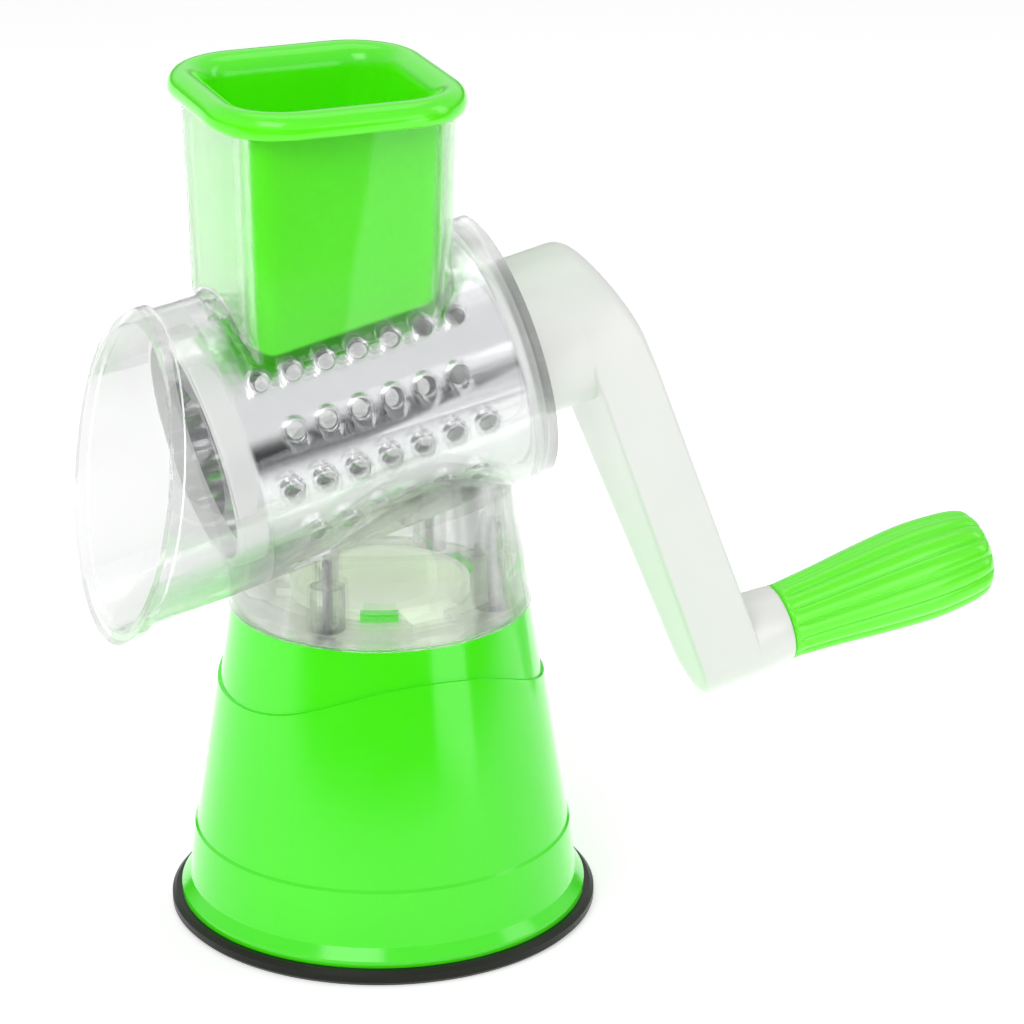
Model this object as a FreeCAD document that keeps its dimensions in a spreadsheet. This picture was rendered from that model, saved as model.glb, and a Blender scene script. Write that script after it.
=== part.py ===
"""Tabletop rotary drum grater with a suction base. Millimetres, +Z up, origin under the middle of the pad."""
import FreeCAD, Part
import math
import os
import Sketcher

doc = FreeCAD.newDocument("drum_grater")
Vector = FreeCAD.Vector
X_AXIS = Vector(1, 0, 0)
Y_AXIS = Vector(0, 1, 0)
Z_AXIS = Vector(0, 0, 1)

# Driving dimensions
SIZES = {
    # suction pad
    "pad_radius": 62.5,
    "pad_height": 4.5,
    "pad_edge_round": 1.2,
    "pad_rim_inner": 51.9,
    "pad_rim_outer": 53.4,
    "pad_rim_height": 4.5,
    # green base
    "lip_radius": 59.6,
    "lip_height": 2.0,
    "lip_neck_radius": 57.0,
    "lip_neck_height": 9.6,
    "low_step_height": 25.8,
    "low_step_depth": 0.7,
    "cone_low_radius": 54.6,
    "cone_top_radius": 44.0,
    "base_height": 95.0,
    "base_wall": 2.4,
    "base_top_width": 2.8,
    "base_foot_gap": 1.2,
    "ledge_width": 4.0,
    "lock_plate_thickness": 2.4,
    "collar_inset": 18.0,
    "collar_wall": 2.2,
    "collar_height": 6.0,
    "arch_top_height": 85.0,
    "arch_foot_height": 72.3,
    "arch_half_width": 43.0,
    "arch_recess": 0.8,
    "arch_blend": 12.0,
    "arch_tail": 20.0,
    "arch_tail_drop": 0.2,
    "arch_shoulder_share": 0.6,
    "lock_tab_reach": 3.4,
    "lock_tab_height": 2.4,
    "lock_tab_width": 11.0,
    "lock_angle": 30.0,
    # suction mechanism
    "plate_thickness": 2.5,
    "plate_radius": 52.8,
    "guide_radius": 8.0,
    "guide_height": 12.0,
    "stem_radius": 5.0,
    "stem_foot_radius": 18.0,
    "stem_foot_height": 1.4,
    "stem_travel": 2.5,
    "lever_height": 34.0,
    "lever_shaft_radius": 5.0,
    "lever_pin_radius": 2.0,
    "lever_slack": 0.7,
    "lever_length": 24.0,
    "lever_clearance": 0.9,
    "lever_hub_radius": 8.5,
    "lever_hub_length": 7.2,
    "lever_hole_gap": 0.6,
    "lever_hole_length": 30.0,
    "lever_inner_end": 8.0,
    "lever_pin_length": 9.0,
    "paddle_root_half": 6.5,
    "paddle_tip_half": 4.5,
    "paddle_thickness": 4.0,
    "post_place": 25.0,
    "post_width": 16.0,
    "post_depth": 6.0,
    "post_above_shaft": 8.0,
    "stem_head_width": 16.0,
    "stem_head_depth": 11.0,
    "stem_head_height": 15.0,
    "stem_head_lap": 1.5,
    "stem_slot_width": 12.0,
    "stem_slot_back": 3.0,
    "screw_post_radius": 4.5,
    "screw_post_circle": 47.6,
    "screw_post_height": 26.0,
    "clip_width": 2.4,
    "clip_thickness": 1.2,
    "clip_gap": 0.4,
    # tilted barrel
    "barrel_tilt": 12.34,
    "barrel_rise": 64.2,
    "barrel_front": 120.0,
    "barrel_rear": 38.7,
    "barrel_rear_radius": 39.0,
    "barrel_flare_angle": 1.9,
    "barrel_wall": 2.2,
    "rear_wall": 2.2,
    "mouth_place": 78.0,
    "mouth_tilt": 21.3,
    "mouth_lip_width": 3.4,
    "mouth_lip_rise": 1.6,
    # skirt
    "skirt_wall": 2.0,
    "skirt_overlap": 11.2,
    "gap": 0.3,
    "flat_gap": 0.2,
    "press_gap": 0.02,
    "overrun": 1.0,
    "tool_length": 240.0,
    # adapter
    "adapter_thickness": 2.8,
    "adapter_gap": 0.7,
    "standoff_radius": 5.0,
    "standoff_x_inset": 19.4,
    "standoff_y_inset": 18.8,
    "standoff_low": 13.0,
    "standoff_high": 18.0,
    "screw_boss_radius": 3.4,
    "screw_radius": 1.5,
    "screw_head_radius": 3.0,
    "screw_head_height": 1.6,
    "screw_bite": 9.0,
    "screw_slack": 0.05,
    "screw_tip": 1.0,
    "screw_head_gap": 0.3,
    "collar_gap": 0.4,
    "notch_reach_gap": 0.8,
    "notch_width_gap": 2.0,
    # chute and pusher
    "chute_offset": 17.1,
    "chute_half": 32.2,
    "chute_rise": 89.0,
    "chute_depth": 83.0,
    "chute_taper_angle": 1.47,
    "chute_round": 9.0,
    "chute_wall": 2.0,
    "chute_foot_round": 3.5,
    "chute_foot_margin": 2.0,
    "chute_foot_lift": 4.0,
    "chute_rim_margin": 20.0,
    "pusher_gap": 0.7,
    "pusher_wall": 1.9,
    "pusher_inner_round": 7.5,
    "rim_half_x": 37.6,
    "rim_half_y": 38.8,
    "rim_round": 24.0,
    "rim_height": 4.2,
    "rim_edge_round": 2.0,
    "pusher_arch_radius": 41.0,
    # drum
    "drum_radius": 33.5,
    "drum_sheet": 0.6,
    "drum_front": 50.0,
    "drum_rear": 32.8,
    "ring_front": 56.7,
    "ring_rear": 48.3,
    "ring_radius": 35.0,
    "ring_inner": 32.4,
    "ring_chamfer": 0.8,
    "punch_length": 8.0,
    "punch_start": 5.0,
    "hole_radius": 2.8,
    "hole_pitch": 9.87,
    "hole_start": 39.2,
    "holes_in_row_count": 7.0,
    "hole_row_count": 13.0,
    "row_angle": 4.4,
    "disc_plug_depth": 6.0,
    "disc_rim_thickness": 2.2,
    "disc_rim_radius": 34.4,
    "socket_depth": 7.0,
    "socket_radius": 14.0,
    "disc_web": 2.2,
    "socket_floor": 1.8,
    "square_half": 6.2,
    "square_end_gap": 0.4,
    # crank
    "journal_radius": 9.0,
    "bush_wall": 2.6,
    "bush_flange": 3.0,
    "bush_flange_thickness": 1.2,
    "fit": 0.08,
    "hub_radius": 23.5,
    "hub_start": 41.0,
    "hub_chamfer": 1.0,
    "journal_gap": 0.5,
    "arm_inner": 56.0,
    "arm_thickness": 20.0,
    "arm_tilt": 8.7,
    "arm_lap": 4.0,
    "arm_end_margin": 2.0,
    "heel_first_share": 0.45,
    "heel_first_drop": 2.6,
    "heel_second_share": 0.85,
    "heel_second_drop": 7.2,
    "heel_last_drop": 12.0,
    "crank_length": 116.0,
    "arm_end_radius": 12.6,
    "boss_radius": 11.0,
    "boss_length": 11.6,
    "pin_radius": 3.0,
    "pin_head_radius": 5.0,
    "pin_head_height": 2.0,
    "pin_depth": 13.0,
    "pin_cap_gap": 0.5,
    "shaft_clip_thickness": 0.8,
    # grip
    "grip_start": 105.6,
    "grip_length": 68.0,
    "grip_small_radius": 11.9,
    "grip_large_radius": 15.6,
    "grip_band": 2.0,
    "grip_neck_swell": 0.9,
    "grip_waist_drop": 1.1,
    "grip_shoulder_drop": 0.7,
    "grip_end_drop": 3.2,
    "grip_face_drop": 7.0,
    "grip_cap_depth": 4.0,
    "grip_cap_thickness": 3.0,
    "grip_cap_radius": 7.0,
    "grip_cap_gap": 0.03,
    "grip_cap_edge": 1.5,
    "grip_cap_rise": 0.6,
    "grip_cap_crown": 0.8,
    "pin_head_room": 2.0,
}

sheet = doc.addObject("Spreadsheet::Sheet", "Sizes")
for row, (alias, number) in enumerate(SIZES.items(), start=1):
    sheet.set("A%d" % row, alias)
    sheet.set("B%d" % row, repr(number))
    sheet.setAlias("B%d" % row, alias)
doc.recompute()


class Size:
    """A length or angle as both a number and the sheet expression that drives it."""

    def __init__(self, text, value):
        self.text = text
        self.value = float(value)

    def _join(self, other, sign, value):
        return Size("(%s %s %s)" % (self.text, sign, other.text), value)

    def __add__(self, other):
        other = as_size(other)
        return self._join(other, "+", self.value + other.value)

    def __radd__(self, other):
        return as_size(other) + self

    def __sub__(self, other):
        other = as_size(other)
        return self._join(other, "-", self.value - other.value)

    def __rsub__(self, other):
        return as_size(other) - self

    def __mul__(self, other):
        other = as_size(other)
        return self._join(other, "*", self.value * other.value)

    def __rmul__(self, other):
        return as_size(other) * self

    def __truediv__(self, other):
        other = as_size(other)
        return self._join(other, "/", self.value / other.value)

    def __neg__(self):
        return Size("(0 - %s)" % self.text, -self.value)


def as_size(number):
    """A plain number as a Size, so that both can be mixed."""
    if isinstance(number, Size):
        return number
    return Size(repr(float(number)), number)


def size(alias):
    """A driving dimension from the sheet."""
    return Size("Sizes.%s" % alias, float(sheet.get(alias)))


def tangent(angle):
    """The tangent of an angle in degrees."""
    return Size("tan(%s)" % angle.text, math.tan(math.radians(angle.value)))


def bind(item, prop, length):
    """Sets one property and ties it to the sheet."""
    item.setExpression(prop, length.text)


def plane_of(body, role):
    """An origin plane of a body, found by its role."""
    for feature in body.Origin.OriginFeatures:
        if feature.Role == role:
            return feature
    raise ValueError(role)


def sketch_on(body, role, name):
    """An empty sketch on one of the body's own origin planes."""
    sketch = body.newObject("Sketcher::SketchObject", name)
    sketch.AttachmentSupport = (plane_of(body, role), [""])
    sketch.MapMode = "FlatFace"
    return sketch


def draw_profile(sketch, points):
    """A closed outline through points given as pairs of sizes, every corner tied to the sheet."""
    count = len(points)
    for index in range(count):
        first = points[index]
        second = points[(index + 1) % count]
        start = Vector(first[0].value, first[1].value, 0)
        end = Vector(second[0].value, second[1].value, 0)
        sketch.addGeometry(Part.LineSegment(start, end), False)
    for index in range(count):
        sketch.addConstraint(Sketcher.Constraint("Coincident", index, 2, (index + 1) % count, 1))
    for index, point in enumerate(points):
        for kind, length in (("DistanceX", point[0]), ("DistanceY", point[1])):
            number = sketch.addConstraint(Sketcher.Constraint(kind, -1, 1, index, 1, length.value))
            sketch.setExpression("Constraints[%d]" % number, length.text)


def pairs(points):
    """Points as pairs of sizes, whatever mix of numbers and sizes they are written in."""
    return [(as_size(across), as_size(along)) for across, along in points]


def new_body(label):
    """A body with its own label."""
    body = doc.addObject("PartDesign::Body", label)
    body.Label = label
    return body


def turned(label, points):
    """A body turned about its own Z axis from an outline of radius and height pairs."""
    body = new_body(label)
    sketch = sketch_on(body, "XZ_Plane", label + "_outline")
    draw_profile(sketch, pairs(points))
    turn = body.newObject("PartDesign::Revolution", label + "_turn")
    turn.Profile = sketch
    turn.ReferenceAxis = (sketch, ["V_Axis"])
    turn.Angle = 360
    body.Tip = turn
    return body


def padded(label, role, points, length, both_sides=False, taper=None, backwards=False):
    """A body made by pushing an outline straight out of one of its origin planes."""
    body = new_body(label)
    sketch = sketch_on(body, role, label + "_outline")
    draw_profile(sketch, pairs(points))
    pad = body.newObject("PartDesign::Pad", label + "_pad")
    pad.Profile = sketch
    pad.Midplane = both_sides
    pad.Reversed = backwards
    bind(pad, "Length", as_size(length))
    if taper is not None:
        bind(pad, "TaperAngle", as_size(taper))
    body.Tip = pad
    return body


def cylinder(label, radius, height, place=Vector(0, 0, 0), turn=None):
    """A round rod tied to the sheet."""
    rod = doc.addObject("Part::Cylinder", label)
    rod.Label = label
    bind(rod, "Radius", as_size(radius))
    bind(rod, "Height", as_size(height))
    rod.Placement = FreeCAD.Placement(place, turn or FreeCAD.Rotation())
    return rod


def box(label, length, width, height, corner):
    """A block tied to the sheet, placed by its lowest corner."""
    block = doc.addObject("Part::Box", label)
    block.Label = label
    bind(block, "Length", as_size(length))
    bind(block, "Width", as_size(width))
    bind(block, "Height", as_size(height))
    block.Placement.Base = corner
    return block


def cut(label, base, tool):
    """One solid with another taken away."""
    result = doc.addObject("Part::Cut", label)
    result.Label = label
    result.Base = base
    result.Tool = tool
    return result


def common(label, base, tool):
    """What two solids share."""
    result = doc.addObject("Part::Common", label)
    result.Label = label
    result.Base = base
    result.Tool = tool
    return result


def fused(label, solids):
    """Several solids joined into one."""
    result = doc.addObject("Part::MultiFuse", label)
    result.Label = label
    result.Shapes = solids
    result.Refine = True
    return result


def round_edges(label, base, radius, wanted):
    """Rounds the edges of a solid that the test picks out."""
    doc.recompute()
    rounded = doc.addObject("Part::Fillet", label)
    rounded.Label = label
    rounded.Base = base
    chosen = [number for number, edge in enumerate(base.Shape.Edges, start=1) if wanted(edge)]
    rounded.Edges = [(number, radius.value, radius.value) for number in chosen]
    return rounded


def on_barrel(item):
    """Puts a piece drawn about its own Z axis onto the tilted barrel axis; its +X then points down."""
    item.Placement = FreeCAD.Placement(Vector(0, 0, barrel_height.value), FreeCAD.Rotation(Y_AXIS, 78.0))
    bind(item, "Placement.Base.z", barrel_height)
    bind(item, "Placement.Rotation.Angle", 90 - barrel_tilt)
    return item


def barrel_point(along, down=0.0, aside=0.0):
    """A world point given along, below and beside the barrel axis."""
    angle = math.radians(barrel_tilt.value)
    x = along * math.cos(angle) + down * math.sin(angle)
    z = barrel_height.value + along * math.sin(angle) - down * math.cos(angle)
    return Vector(x, aside, z)


def upright(edge):
    """Whether an edge runs mostly up and down."""
    ends = [vertex.Point for vertex in edge.Vertexes]
    if len(ends) != 2:
        return False
    run = ends[1] - ends[0]
    return abs(run.z) > 0.9 * run.Length > 3.0


gap = size("gap")
flat_gap = size("flat_gap")
fit = size("fit")
barrel_tilt = size("barrel_tilt")
base_height = size("base_height")
barrel_height = base_height + size("barrel_rise")
pad_height = size("pad_height")
overrun = size("overrun")
chute_top = barrel_height + size("chute_rise")
skirt_top = barrel_height - size("skirt_overlap")
collar_radius = size("cone_top_radius") - size("collar_inset")
lever_start = size("cone_low_radius") + size("low_step_depth") + size("lever_clearance")
lever_reach = lever_start + size("lever_hub_length")


# Suction pad
def suction_pad():
    """The rubber disc, pressed flat, with an upstand that seats inside the base."""
    radius = size("pad_radius")
    edge = size("pad_edge_round")
    rim_top = pad_height + size("pad_rim_height")
    return turned("suction_pad", [
        (0, 0), (radius - edge, 0), (radius, edge), (radius, pad_height - edge),
        (radius - edge, pad_height), (size("pad_rim_outer"), pad_height), (size("pad_rim_outer"), rim_top),
        (size("pad_rim_inner"), rim_top), (size("pad_rim_inner"), pad_height), (0, pad_height)])


# Green base
TAB_ANGLES = (-110, 10, 130)
POST_ANGLES = (30, 150, 270)


def base_shell():
    """The hollow cone with its flared lip, top ledge, screw posts and lever hole."""
    wall = size("base_wall")
    low = size("low_step_height")
    step = size("low_step_depth")
    low_radius = size("cone_low_radius")
    top_radius = size("cone_top_radius")
    seat = top_radius - size("base_top_width")
    ledge = base_height - size("lock_plate_thickness")
    cone = turned("base_cone", [
        (size("lip_radius"), pad_height), (size("lip_radius"), pad_height + size("lip_height")),
        (size("lip_neck_radius"), size("lip_neck_height")), (low_radius + step, low),
        (low_radius, low + step), (top_radius, base_height), (seat, base_height), (seat, ledge),
        (seat - size("ledge_width"), ledge), (seat - size("ledge_width"), ledge - wall),
        (top_radius - wall, ledge - wall * 2), (low_radius - wall, low),
        (size("pad_rim_outer") + size("base_foot_gap"), pad_height)])
    pieces = [cone]
    plate_top = pad_height + size("pad_rim_height") + size("plate_thickness")
    for number, angle in enumerate(POST_ANGLES):
        post = cylinder("screw_post_%d" % number, size("screw_post_radius"), size("screw_post_height"),
                        around(size("screw_post_circle").value, angle, plate_top.value))
        pieces.append(post)
    solid = fused("base_solid", pieces)
    hole_start = lever_start - size("lever_hole_length") / 2
    hole = cylinder("lever_hole", size("lever_shaft_radius") + size("lever_hole_gap"), size("lever_hole_length"),
                    Vector(0, hole_start.value, size("lever_height").value), FreeCAD.Rotation(X_AXIS, -90))
    bored = cut("base_bored", solid, hole)
    pilots = fused("plate_pilots", [
        cylinder("plate_pilot_%d" % number, size("screw_radius"), size("screw_bite"),
                 around(size("screw_post_circle").value, angle, plate_top.value))
        for number, angle in enumerate(POST_ANGLES)])
    drilled = cut("base_drilled", bored, pilots)
    return cut("base_shell", drilled, arch_recess())


def lock_plate():
    """The pale plate that closes the base's top, with the collar that the housing locks on."""
    edge = size("cone_top_radius") - size("base_top_width") - fit
    bottom = base_height - size("lock_plate_thickness")
    collar = collar_radius
    collar_top = base_height + size("collar_height")
    floor = collar - size("collar_wall")
    return turned("lock_plate", [
        (0, bottom), (edge, bottom), (edge, base_height), (collar, base_height), (collar, collar_top),
        (floor, collar_top), (floor, base_height), (0, base_height)])


def lock_tabs():
    """The three green tabs on the collar that hold the housing down."""
    collar = collar_radius
    top = base_height + size("collar_height")
    bottom = top - size("lock_tab_height")
    outer = collar + size("lock_tab_reach")
    ring = turned("lock_ring", [(collar, bottom), (outer, bottom), (outer, top), (collar, top)])
    bars = []
    for number, angle in enumerate(TAB_ANGLES):
        bar = box("lock_bar_%d" % number, outer + overrun, size("lock_tab_width"), top, Vector())
        turn = FreeCAD.Rotation(Z_AXIS, angle)
        corner = Vector(0, -size("lock_tab_width").value / 2, 0)
        bar.Placement = FreeCAD.Placement(turn.multVec(corner), turn)
        bars.append(bar)
    group = doc.addObject("Part::Compound", "lock_bars")
    group.Links = bars
    return common("lock_tabs", ring, group)


def around(radius, angle, height):
    """A point on a circle about the base's axis."""
    turn = math.radians(angle)
    return Vector(radius * math.cos(turn), radius * math.sin(turn), height)


def arch_recess():
    """The shallow recess above the arched line round the base."""
    depth = size("arch_recess")
    low = size("low_step_height")
    low_radius = size("cone_low_radius")
    top_radius = size("cone_top_radius")
    slope = (low_radius - top_radius) / (base_height - low - size("low_step_depth"))
    foot = size("arch_foot_height") - size("arch_blend")
    top = base_height + overrun
    foot_radius = top_radius + slope * (base_height - foot)
    band = turned("arch_band", [
        (foot_radius - depth, foot), (foot_radius + overrun, foot), (top_radius + overrun, top),
        (top_radius - depth - slope, top)])
    half = size("arch_half_width").value
    rise = size("arch_top_height").value
    fall = size("arch_foot_height").value
    share = size("arch_shoulder_share").value
    tail = half + size("arch_tail").value
    tail_height = fall - size("arch_tail_drop").value
    shoulder = fall + (rise - fall) * share
    outline = Part.BSplineCurve()
    outline.interpolate([
        Vector(-tail, 0, tail_height), Vector(-half, 0, fall), Vector(-half * share, 0, shoulder),
        Vector(0, 0, rise), Vector(half * share, 0, shoulder), Vector(half, 0, fall), Vector(tail, 0, tail_height)])
    ends = [outline.value(outline.FirstParameter), outline.value(outline.LastParameter)]
    roof = (top + overrun).value
    frame = [ends[1], Vector(tail, 0, roof), Vector(-tail, 0, roof), ends[0]]
    edges = [outline.toShape()]
    for first, second in zip(frame, frame[1:]):
        edges.append(Part.makeLine(first, second))
    face = Part.Face(Part.Wire(Part.__sortEdges__(edges)))
    wedge = doc.addObject("Part::Feature", "arch_wedge")
    wedge.Shape = face.extrude(Vector(0, size("tool_length").value, 0))
    wedge.Placement.Base = Vector(0, -size("tool_length").value / 2, 0)
    return common("arch_cut", band, wedge)


# Suction mechanism
def mechanism_plate():
    """The plate inside the base that guides the stem and carries the lever's shaft."""
    bottom = pad_height + size("pad_rim_height")
    top = bottom + size("plate_thickness")
    bore = size("stem_radius") + gap
    disc = turned("plate_disc", [
        (bore, bottom), (size("plate_radius"), bottom), (size("plate_radius"), top),
        (size("guide_radius"), top), (size("guide_radius"), top + size("guide_height")),
        (bore, top + size("guide_height"))])
    width = size("post_width")
    height = size("lever_height") + size("post_above_shaft")
    post = box("lever_post", width, size("post_depth"), height - bottom,
               Vector(-width.value / 2, size("post_place").value, bottom.value))
    solid = fused("plate_solid", [disc, post])
    holes = [cylinder("post_bore", size("lever_shaft_radius") + fit, size("post_depth") + overrun * 2,
                      Vector(0, (size("post_place") - overrun).value, size("lever_height").value),
                      FreeCAD.Rotation(X_AXIS, -90))]
    for number, angle in enumerate(POST_ANGLES):
        holes.append(cylinder("plate_hole_%d" % number, size("screw_radius") + flat_gap,
                              size("plate_thickness") + overrun * 2,
                              around(size("screw_post_circle").value, angle, (bottom - overrun).value)))
    return cut("mechanism_plate", solid, fused("plate_holes", holes))


def screws(label, places, lengths):
    """A group of equal screws, each pointing up from its head's underside at the place given."""
    head = size("screw_head_radius")
    tall = size("screw_head_height")
    thread = size("screw_radius") - size("screw_slack")
    group = []
    for number, (place, length) in enumerate(zip(places, lengths)):
        screw = turned("%s_%d" % (label, number), [
            (0, -tall), (head, -tall), (head, 0), (thread, 0), (thread, length - size("screw_tip")), (0, length)])
        screw.Placement.Base = place
        group.append(screw)
    gathered = doc.addObject("Part::Compound", label)
    gathered.Label = label
    gathered.Links = group
    return gathered


def plate_screws():
    """The three screws that hold the mechanism plate to the posts."""
    bottom = pad_height + size("pad_rim_height")
    places = [around(size("screw_post_circle").value, angle, bottom.value) for angle in POST_ANGLES]
    length = size("plate_thickness") + size("screw_bite") - size("screw_tip")
    return screws("plate_screws", places, [length] * len(places))


def suction_stem():
    """The rod bonded to the pad, with a slotted head that the lever's eccentric pin lifts."""
    foot = pad_height + size("stem_foot_height")
    middle = size("lever_height")
    width = size("stem_head_width")
    depth = size("stem_head_depth")
    head_bottom = middle - size("stem_head_height") / 2
    rod_top = head_bottom + size("stem_head_lap")
    rod = turned("stem_rod", [
        (0, pad_height), (size("stem_foot_radius"), pad_height), (size("stem_foot_radius"), foot),
        (size("stem_radius"), foot), (size("stem_radius"), rod_top), (0, rod_top)])
    head = box("stem_head", width, depth, size("stem_head_height"),
               Vector(-width.value / 2, -depth.value / 2, head_bottom.value))
    solid = fused("stem_solid", [rod, head])
    tall = (size("lever_pin_radius") + size("lever_slack")) * 2
    across = size("stem_slot_width")
    slot = box("stem_slot", across, depth + overrun, tall,
               Vector(-across.value / 2, -size("stem_slot_back").value, middle.value - tall.value / 2))
    return cut("suction_stem", solid, slot)


def suction_lever():
    """The shaft with its eccentric pin inside and the thumb lever outside the base."""
    middle = size("lever_height").value
    along = FreeCAD.Rotation(X_AXIS, -90)
    inner = size("lever_inner_end")
    shaft = cylinder("lever_shaft", size("lever_shaft_radius"), lever_start - inner,
                     Vector(0, inner.value, middle), along)
    pin = cylinder("lever_eccentric", size("lever_pin_radius"), size("lever_pin_length"),
                   Vector(size("stem_travel").value, 0, middle), along)
    hub = cylinder("lever_hub", size("lever_hub_radius"), size("lever_hub_length"),
                   Vector(0, lever_start.value, middle), along)
    root = size("paddle_root_half")
    tip = size("paddle_tip_half")
    drop = -size("lever_length")
    paddle = padded("lever_paddle", "XZ_Plane", [(-root, 0), (-tip, drop), (tip, drop), (root, 0)],
                    size("paddle_thickness"))
    paddle.Placement.Base = Vector(0, lever_reach.value, middle)
    return fused("suction_lever", [shaft, pin, hub, paddle])


def lever_clip():
    """The ring that keeps the lever's shaft in its post."""
    radius = size("lever_shaft_radius")
    outer = radius + size("clip_width")
    thick = size("clip_thickness")
    place = size("post_place") - size("clip_gap") - thick
    clip = turned("lever_clip", [(radius, 0), (outer, 0), (outer, thick), (radius, thick)])
    clip.Placement = FreeCAD.Placement(
        Vector(0, place.value, size("lever_height").value), FreeCAD.Rotation(X_AXIS, -90))
    return clip


# Clear housing
def barrel_form(label, inset, rear_end, front_end):
    """The flared barrel as a solid cone, smaller all round by the inset."""
    flare = tangent(size("barrel_flare_angle"))
    rear = size("barrel_rear")
    small = size("barrel_rear_radius") - inset
    form = turned(label, [
        (0, -front_end), (small + flare * (rear + front_end), -front_end),
        (small + flare * (rear - rear_end), rear_end), (0, rear_end)])
    return on_barrel(form)


def mouth_side(label, offset, depth):
    """A large block on one side of the slanted mouth plane, starting at an offset from it."""
    width = size("tool_length")
    block = box(label, depth, width, width, Vector())
    turn = FreeCAD.Rotation(Y_AXIS, -(barrel_tilt.value - size("mouth_tilt").value))
    centre = barrel_point(-size("mouth_place").value)
    corner = turn.multVec(Vector(offset, -width.value / 2, -width.value / 2))
    block.Placement = FreeCAD.Placement(centre + corner, turn)
    return block


def chute_form(label, inset, top, depth, corner=None):
    """The feed chute as a solid tapered block with rounded corners."""
    half = size("chute_half") - inset
    block = padded(label + "_block", "XY_Plane", [(-half, -half), (half, -half), (half, half), (-half, half)],
                   depth, taper=-size("chute_taper_angle"), backwards=True)
    block.Placement.Base = Vector(-size("chute_offset").value, 0, top.value)
    return round_edges(label, block, corner or size("chute_round") - inset, upright)


def skirt_form(label, inset, bottom, top):
    """The skirt under the barrel, a continuation of the base's cone."""
    run = base_height - size("low_step_height") - size("low_step_depth")
    slope = (size("cone_low_radius") - size("cone_top_radius")) / run
    radius = size("cone_top_radius") - inset
    return turned(label, [
        (0, bottom), (radius + slope * (base_height - bottom), bottom),
        (radius - slope * (top - base_height), top), (0, top)])


def standoff_places():
    """Where the four standoffs stand, and how tall each lower part is."""
    across = (size("cone_top_radius") - size("standoff_x_inset")).value
    aside = (size("cone_top_radius") - size("standoff_y_inset")).value
    low = size("standoff_low")
    high = size("standoff_high")
    return [(-across, -aside, low), (-across, aside, low), (across, -aside, high), (across, aside, high)]


def housing():
    """The clear moulding: barrel with its mouth lip, chute, skirt and four stepped screw bosses."""
    front = size("barrel_front")
    rear = size("barrel_rear")
    wall = size("barrel_wall")
    skirt_bottom = base_height + flat_gap
    behind_mouth = mouth_side("behind_mouth", 0, size("tool_length"))
    barrel_outer = common("barrel_outer", barrel_form("barrel_cone", 0, rear, front), behind_mouth)
    lip_slab = mouth_side("lip_slab", 0, size("mouth_lip_width"))
    lip = common("mouth_lip", barrel_form("lip_cone", -size("mouth_lip_rise"), rear, front), lip_slab)
    chute_outer = chute_form("chute_outer", as_size(0), chute_top, size("chute_depth"))
    skirt_outer = skirt_form("skirt_outer", as_size(0), skirt_bottom, skirt_top)
    joined = fused("housing_joined", [barrel_outer, lip, chute_outer, skirt_outer])
    outside = round_edges("housing_outside", joined, size("chute_foot_round"), chute_foot)
    skirt_inner = skirt_form("skirt_inner", size("skirt_wall"), skirt_bottom - overrun, skirt_top + overrun)
    barrel_keep = common("barrel_keep", barrel_form("keep_cone", 0, rear, front),
                         mouth_side("keep_side", 0, size("tool_length")))
    shell = cut("housing_shell", outside, cut("skirt_hollow", skirt_inner, barrel_keep))
    bosses = []
    pilots = []
    floor_top = base_height + flat_gap + size("adapter_thickness")
    for number, (across, aside, tall) in enumerate(standoff_places()):
        place = Vector(across, aside, floor_top.value)
        bosses.append(cylinder("standoff_%d" % number, size("standoff_radius"), tall, place))
        bosses.append(cylinder("screw_boss_%d" % number, size("screw_boss_radius"),
                               skirt_top - floor_top, place))
        pilots.append(cylinder("boss_pilot_%d" % number, size("screw_radius"), tall + size("screw_bite"), place))
    trimmed = common("bosses_trimmed", fused("screw_bosses", bosses), skirt_outer)
    with_bosses = fused("housing_bossed", [shell, trimmed])
    bore_start = rear - size("rear_wall") - overrun
    bore = cylinder("bearing_hole", size("journal_radius") + size("bush_wall"), size("rear_wall") + overrun * 2,
                    barrel_point(bore_start.value), FreeCAD.Rotation(Y_AXIS, 90 - barrel_tilt.value))
    hollow = fused("housing_hollow", [
        barrel_form("barrel_inner", wall, rear - size("rear_wall"), front),
        chute_form("chute_inner", size("chute_wall"), chute_top + overrun, size("chute_depth") + overrun),
        bore] + pilots)
    return cut("housing", with_bosses, hollow)


def chute_foot(edge):
    """Whether an edge is part of the closed line where the chute meets the barrel."""
    middle = edge.BoundBox.Center
    reach = size("chute_half").value + size("chute_foot_margin").value
    across = abs(middle.x + size("chute_offset").value)
    height = barrel_height.value + middle.x * math.tan(math.radians(barrel_tilt.value))
    lowest = edge.BoundBox.ZMin > height + size("chute_foot_lift").value
    tall = edge.BoundBox.ZLength > size("chute_depth").value * 0.35 and upright(edge)
    below_rim = edge.BoundBox.ZMax < chute_top.value - size("chute_rim_margin").value
    return across < reach and abs(middle.y) < reach and lowest and below_rim and not tall


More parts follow.
